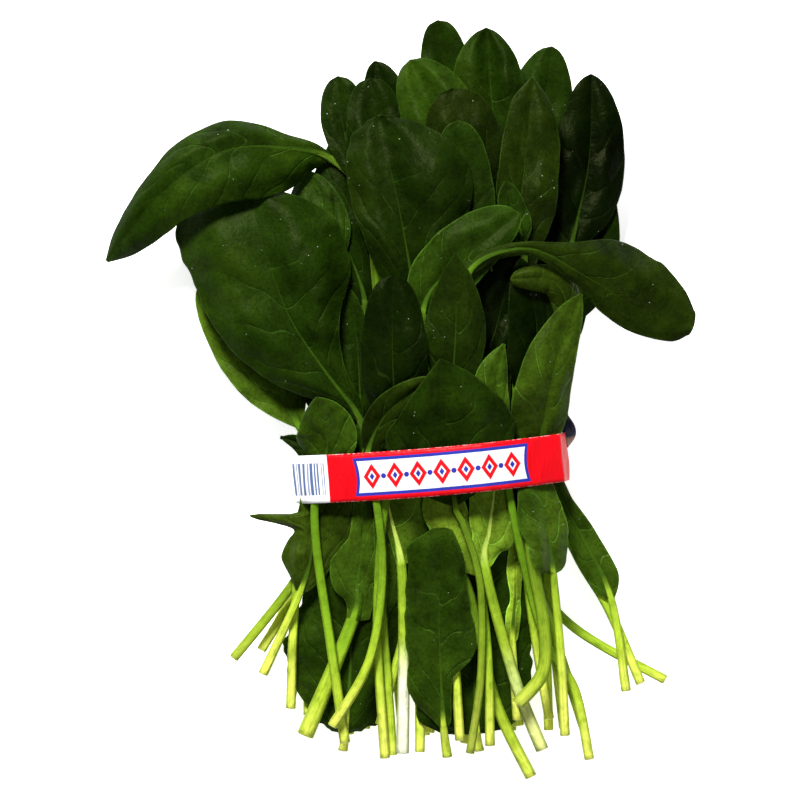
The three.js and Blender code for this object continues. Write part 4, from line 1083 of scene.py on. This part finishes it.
def blade_colour(f, spot):
    """The blade's green, lighter by its leaf's tone, which also holds painted light and shade, with its
    veins, painted shade in their grooves and a painted highlight along the rim.
    """
    colour = f.mix((spot.tone / 5).lower(1), LEAF_GREEN, FRESH_GREEN)
    colour = f.mix(spot.warm + spot.broad.between(0.5, 0.75) * 0.3, colour, OLIVE)
    colour = f.mix(spot.side_vein * 0.6, colour, VEIN_AND_RIM_HIGHLIGHT_GREEN)
    # A painted highlight along the edge, where it curls up.
    colour = f.mix(spot.rim_line * 0.5, colour, VEIN_AND_RIM_HIGHLIGHT_GREEN)
    # The tone also holds painted light and shade: low for leaves that lie in shade, high for lit ones.
    light = spot.tone * (2.2 * spot.broad + 1.5 * spot.middling - 0.9).upper(0.2) * (1 + 0.6 * spot.under)
    # Darker in the grooves beside the side veins: painted shade.
    light = light * (1 - 0.30 * spot.grain.between(0.42, 0.7) - 0.12 * spot.hollow - 0.08 * spot.net)
    return f.mix(1.0, colour, light, "MULTIPLY")


def stalk_colour(f, spot):
    """The stalk's colour from its cut end up, and that of the rib it runs into."""
    up = spot.along / STALK_LENGTH
    # The palest stops near the cut end are partly the stalk's own pale base and partly painted glare.
    colour = f.ramp(up + (spot.blotch - 0.5) * 0.3 + (spot.seed * 2.37).sine() * 0.10,
                    (0.02, STALK_PALE_AND_GLARE), (0.2, STALK_LIME), (0.42, STALK_FRESH), (0.66, STALK_LEAFY),
                    (0.92, STALK_GREEN))
    # Pale stalks turn near-white low down: painted glare.
    colour = f.mix((spot.pale * 2 - 0.8).upper(0) * (1 - up.between(0.2, 0.4)), colour, STALK_GLARE_WHITE)
    colour = f.mix((0 - spot.pale).upper(0), colour, STALK_LEAFY)
    vivid = ((spot.seed * 1.7).sine() * 0.3 + 0.1).upper(0)
    colour = f.mix(vivid * spot.along.between(15, 50), colour, STALK_VIVID)
    colour = f.mix(spot.white * spot.along.between(50, 90), colour, STALK_FRESH)
    # Darker green towards each side of the stalk: painted shade of its round.
    colour = f.mix((spot.across.abs() / spot.girth).between(0.5, 1.05) * 0.5, colour, STALK_LEAFY)
    colour = f.mix(spot.fibre.between(0.5, 0.75) * (0.35 - 0.3 * spot.white), colour, FIBRE_GREEN)
    colour = f.mix(spot.blotch.between(0.5, 0.75) * 0.35, colour, STALK_LEAFY)
    scar = f.noise(f.point(spot.along * 0.5, spot.across * 1.1, spot.seed * 17), 1.0, 2)
    scar = scar.between(0.66, 0.74) * spot.along.between(30, 70)
    colour = f.mix(scar * 0.6, colour, SCAR_BROWN)
    colour = f.mix(1 - (spot.along + 0.2).between(-0.6, 0.2), colour, CUT_PALE)

    rib = f.mix((spot.pale * 1.6).upper(0).lower(1), RIB_GREEN, RIB_PALE)
    rib = f.mix(1.0, rib, (0.4 + 0.5 * spot.tone).lower(1) * (1 + spot.pale.lower(0)), "MULTIPLY")
    return f.mix(spot.place.between(0.0, 0.1), colour, rib)


def leaf_finish():
    """One finish for all leaves, which goes by the place on the leaf."""
    f = Finish("spinach_leaf", LEAF_GREEN)
    spot = leaf_facts(f)
    leaf_marks(f, spot)
    colour = f.mix(spot.wing, stalk_colour(f, spot), blade_colour(f, spot))
    # The drops' white in the colour is a painted glint.
    colour = f.mix(spot.drop * 0.3, colour, DROP_GLINT_WHITE)
    height = spot.grain * 0.25 + spot.middling * 2.0 + spot.drop * 0.6
    height = height - spot.side_vein * 0.3 - spot.hollow * 0.2 - spot.net * 0.05 - spot.rib * 0.2
    height = height + (1 - spot.blade) * (spot.fibre * 0.9 + spot.blotch * 1.2)
    rough = 0.38 + 0.12 * spot.broad - 0.2 * spot.drop + 0.25 * spot.under + 0.1 * (1 - spot.wing)
    return f.done(Base_Color=colour, Roughness=rough, Normal=f.bump(height, 0.7, 0.0007),
                  IOR=1.4, Specular_IOR_Level=0.055, Specular_Tint=LEAF_TINT)


# ------------------------------------------------------------------ print of the band
# Millimetres along the strip from the middle of its front, to the right, and across its width.
PRINT_RED = (0.70, 0.0015, 0.007)
PRINT_WHITE = (0.86, 0.87, 0.88)
PRINT_BLUE = (0.02, 0.03, 0.33)
STRIPE_BLUE = (0.09, 0.14, 0.30)
CREASE_SHADE_RED = (0.45, 0.10, 0.10)
PRINT_SOFT = 0.12  # how soft the edges of the large fields are
PANEL_MIDDLE = 1.3
PANEL_HALF_LONG, PANEL_HALF_WIDE, PANEL_CORNER = 36.6, 7.6, 0.7  # with its blue border
PANEL_NOTCH = 1.3  # how far its ends are hollowed in
BORDER = 1.3  # width of that border
MOTIF_PITCH = 9.6  # distance between lozenges, with a dot halfway
MOTIF_ROW = 3 * MOTIF_PITCH + 3.8  # half length of the row of motifs
LOZENGE_LONG, LOZENGE_WIDE = 3.6, 5.2  # half length and half width
LOZENGE_RINGS = ((0.95, 1.05, PRINT_RED), (0.44, 0.52, PRINT_WHITE), (0.25, 0.33, PRINT_BLUE))
DOT = (0.95, 1.15)  # its radius, from where it starts to fade to where it is gone
WHITE_END = -46.5  # where the red print stops on the left
STRIPE_PITCH = 1.3  # size of the unevenness that makes the stripes
STRIPES_FROM, STRIPES_TO = WHITE_END - 22, WHITE_END - 1.6
STRIPES_HALF = 6.4  # half their height


def print_panel(f, x, v):
    """The white panel with its blue border on the red ground."""
    notch = (1 - (v / PANEL_HALF_WIDE) * (v / PANEL_HALF_WIDE)).upper(0) * PANEL_NOTCH
    past_end = x.abs() + notch - (PANEL_HALF_LONG - PANEL_CORNER)
    past_side = v.abs() - (PANEL_HALF_WIDE - PANEL_CORNER)
    corner_x, corner_v = past_end.upper(0), past_side.upper(0)
    from_corner = (corner_x * corner_x + corner_v * corner_v) ** 0.5
    past = from_corner + past_end.upper(past_side).lower(0) - PANEL_CORNER
    colour = f.mix(1 - past.between(-PRINT_SOFT, PRINT_SOFT), PRINT_RED, PRINT_BLUE)
    return f.mix(1 - past.between(-BORDER - PRINT_SOFT, -BORDER + PRINT_SOFT), colour, PRINT_WHITE)


def print_motifs(f, x, v, colour):
    """A row of lozenges with dots between them."""
    off = (x / MOTIF_PITCH).nearest() * MOTIF_PITCH
    row = 1 - x.abs().beyond(MOTIF_ROW)
    lozenge = off / LOZENGE_LONG + v.abs() / LOZENGE_WIDE
    for start, end, ink in LOZENGE_RINGS:
        colour = f.mix((1 - lozenge.between(start, end)) * row, colour, ink)
    gap = MOTIF_PITCH / 2 - off
    dot = 1 - ((gap * gap + v * v) ** 0.5).between(*DOT)
    return f.mix(dot * row, colour, PRINT_BLUE)


def print_stripes(f, s, v, colour):
    """The white left end with uneven plain stripes."""
    colour = f.mix(1 - s.beyond(WHITE_END, PRINT_SOFT), colour, PRINT_WHITE)
    stripe = f.noise(f.point(s / STRIPE_PITCH, 0, 9), 1.0, 1).between(0.46, 0.52)
    field = (1 - v.abs().beyond(STRIPES_HALF)) * (1 - s.beyond(STRIPES_TO)) * s.beyond(STRIPES_FROM)
    return f.mix(stripe * field, colour, STRIPE_BLUE)


def band_finish():
    """Red paper with a panel, motifs and stripes, creased with painted shade along the creases, and worn
    white along its edges.
    """
    f = Finish("printed_band", PRINT_RED)
    s, v = f.fact("round"), f.fact("over")
    x = s - PANEL_MIDDLE
    colour = print_stripes(f, s, v, print_motifs(f, x, v, print_panel(f, x, v)))
    crease = f.noise(f.point(s * 0.30, v * 0.10, 0), 1.0, 4)
    fine = f.noise(f.point(s * 0.9, v * 0.9, 3), 1.0, 3)
    # Darker red along the crumple pattern: painted shade in the creases.
    colour = f.mix(crease.between(0.52, 0.75) * 0.3, colour, CREASE_SHADE_RED, "MULTIPLY")
    worn = (1 - (BAND_WIDTH / 2 - v.abs()).between(0.05, 0.35)) * fine.between(0.45, 0.6)
    colour = f.mix(worn * 0.5, colour, PRINT_WHITE)
    return f.done(Base_Color=colour, Roughness=0.38 + 0.15 * fine,
                  Normal=f.bump(crease + fine * 0.15, 0.6, 0.0010), IOR=1.45, Specular_IOR_Level=0.18)


TIE_NAVY, TIE_NAVY_LIGHT = (0.006, 0.010, 0.035), (0.02, 0.03, 0.075)
TIE_BROWN, TIE_BROWN_LIGHT = (0.13, 0.06, 0.035), (0.30, 0.17, 0.10)


def tie_finish():
    """The back of the tie: brown where its paper is torn at the band, dark blue beyond."""
    f = Finish("tie_end", TIE_NAVY_LIGHT)
    fibre = f.noise(f.node("ShaderNodeTexCoord", output=3), 900.0, 4)
    navy = f.mix(fibre, TIE_NAVY, TIE_NAVY_LIGHT)
    brown = f.mix(fibre, TIE_BROWN, TIE_BROWN_LIGHT)
    torn = 1 - (f.fact("step") + (fibre - 0.5) * 0.1).between(0.28, 0.34)
    return f.done(Base_Color=f.mix(torn, navy, brown), Roughness=0.55 + 0.2 * fibre,
                  Normal=f.bump(fibre, 0.4, 0.0003))


# ------------------------------------------------------------------ stage
PICTURE = 320.0  # width of the view at the heap's middle height
LENS, SENSOR = 200.0, 36.0
FOCUS_HEIGHT = 30.0  # the heap's middle height
FLOOR = 3000.0  # half its side
LIGHT_AIM = (0, 0, 0.03)  # where the lights point, in metres
LIGHTS = dict(key=((-0.25, 0.85, 0.95), 0.35, 32), fill=((0.4, -0.5, 1.2), 0.9, 5))  # place, size, power
ROOM_LIGHT = 0.05


def add_floor():
    """A white floor that glows enough to show no shadow."""
    f = Finish("pale_floor", (1, 1, 1))
    white = f.done(Base_Color=(0.9, 0.9, 0.9), Roughness=0.9, Emission_Color=(1.0, 1.0, 1.0),
                   Emission_Strength=0.8)
    corners = [(-FLOOR, -FLOOR, 0), (FLOOR, -FLOOR, 0), (FLOOR, FLOOR, 0), (-FLOOR, FLOOR, 0)]
    make_piece("floor", corners, [(0, 1, 2, 3)], white)


def add_light(name, place, size, power):
    """A round lamp. place and size: metres."""
    lamp = bpy.data.lights.new(name, "AREA")
    lamp.shape, lamp.size, lamp.energy = "DISK", size, power
    light = bpy.data.objects.new(name, lamp)
    light.location = place
    towards = np.array(LIGHT_AIM) - np.array(place)
    light.rotation_mode = "QUATERNION"
    light.rotation_quaternion = Vector(towards).to_track_quat("-Z", "Y")
    bpy.context.scene.collection.objects.link(light)


def add_camera(shift):
    """A long lens straight above the bunch."""
    data = bpy.data.cameras.new("camera")
    data.lens, data.sensor_width = LENS, SENSOR
    data.clip_start, data.clip_end = 0.1, 10
    camera = bpy.data.objects.new("camera", data)
    distance = PICTURE / SENSOR * LENS
    camera.location = (shift[0] * MM, shift[1] * MM, (distance + FOCUS_HEIGHT) * MM)
    bpy.context.scene.collection.objects.link(camera)
    bpy.context.scene.camera = camera


def add_stage(shift):
    """Floor, lights, room and camera."""
    add_floor()
    for name, (place, size, power) in LIGHTS.items():
        add_light(name, place, size, power)
    world = bpy.data.worlds.new("room")
    world.use_nodes = True
    room = world.node_tree.nodes["Background"].inputs
    room["Color"].default_value, room["Strength"].default_value = (1, 1, 1, 1), ROOM_LIGHT
    bpy.context.scene.world = world
    bpy.context.scene.view_settings.view_transform = "Standard"
    add_camera(shift)


# ------------------------------------------------------------------ the scene
def main():
    """Sets the stage, makes every piece, puts it on the bunch's body and hides the CAD part it stands for."""
    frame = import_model()
    nodes = frame["nodes"]
    for form in LEAVES:
        prepare(form)
    corners = np.vstack([part.reshape(-1, 2) for form in LEAVES for part in cad_plan(form)[1::2]])
    shift = -(corners.min(0) + corners.max(0)) / 2  # from the bunch's own plan to the scene's

    add_stage(shift)
    leaf_look, heap = leaf_finish(), Heap()
    for index, form in enumerate(LEAVES):
        grid = leaf_grid(form, read_heights(form, nodes[form["name"]], shift), index)
        settle(grid, heap)
        piece = leaf_piece(form, grid, shift, index, leaf_look)
        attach(piece, "root")
        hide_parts(form["name"])

    strip = band_piece(nodes["label_band"], shift, band_finish())
    tie = tie_piece(nodes["label_band"], shift, tie_finish())
    for piece in (strip, tie):
        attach(piece, "root")
        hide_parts("label_band")


main()
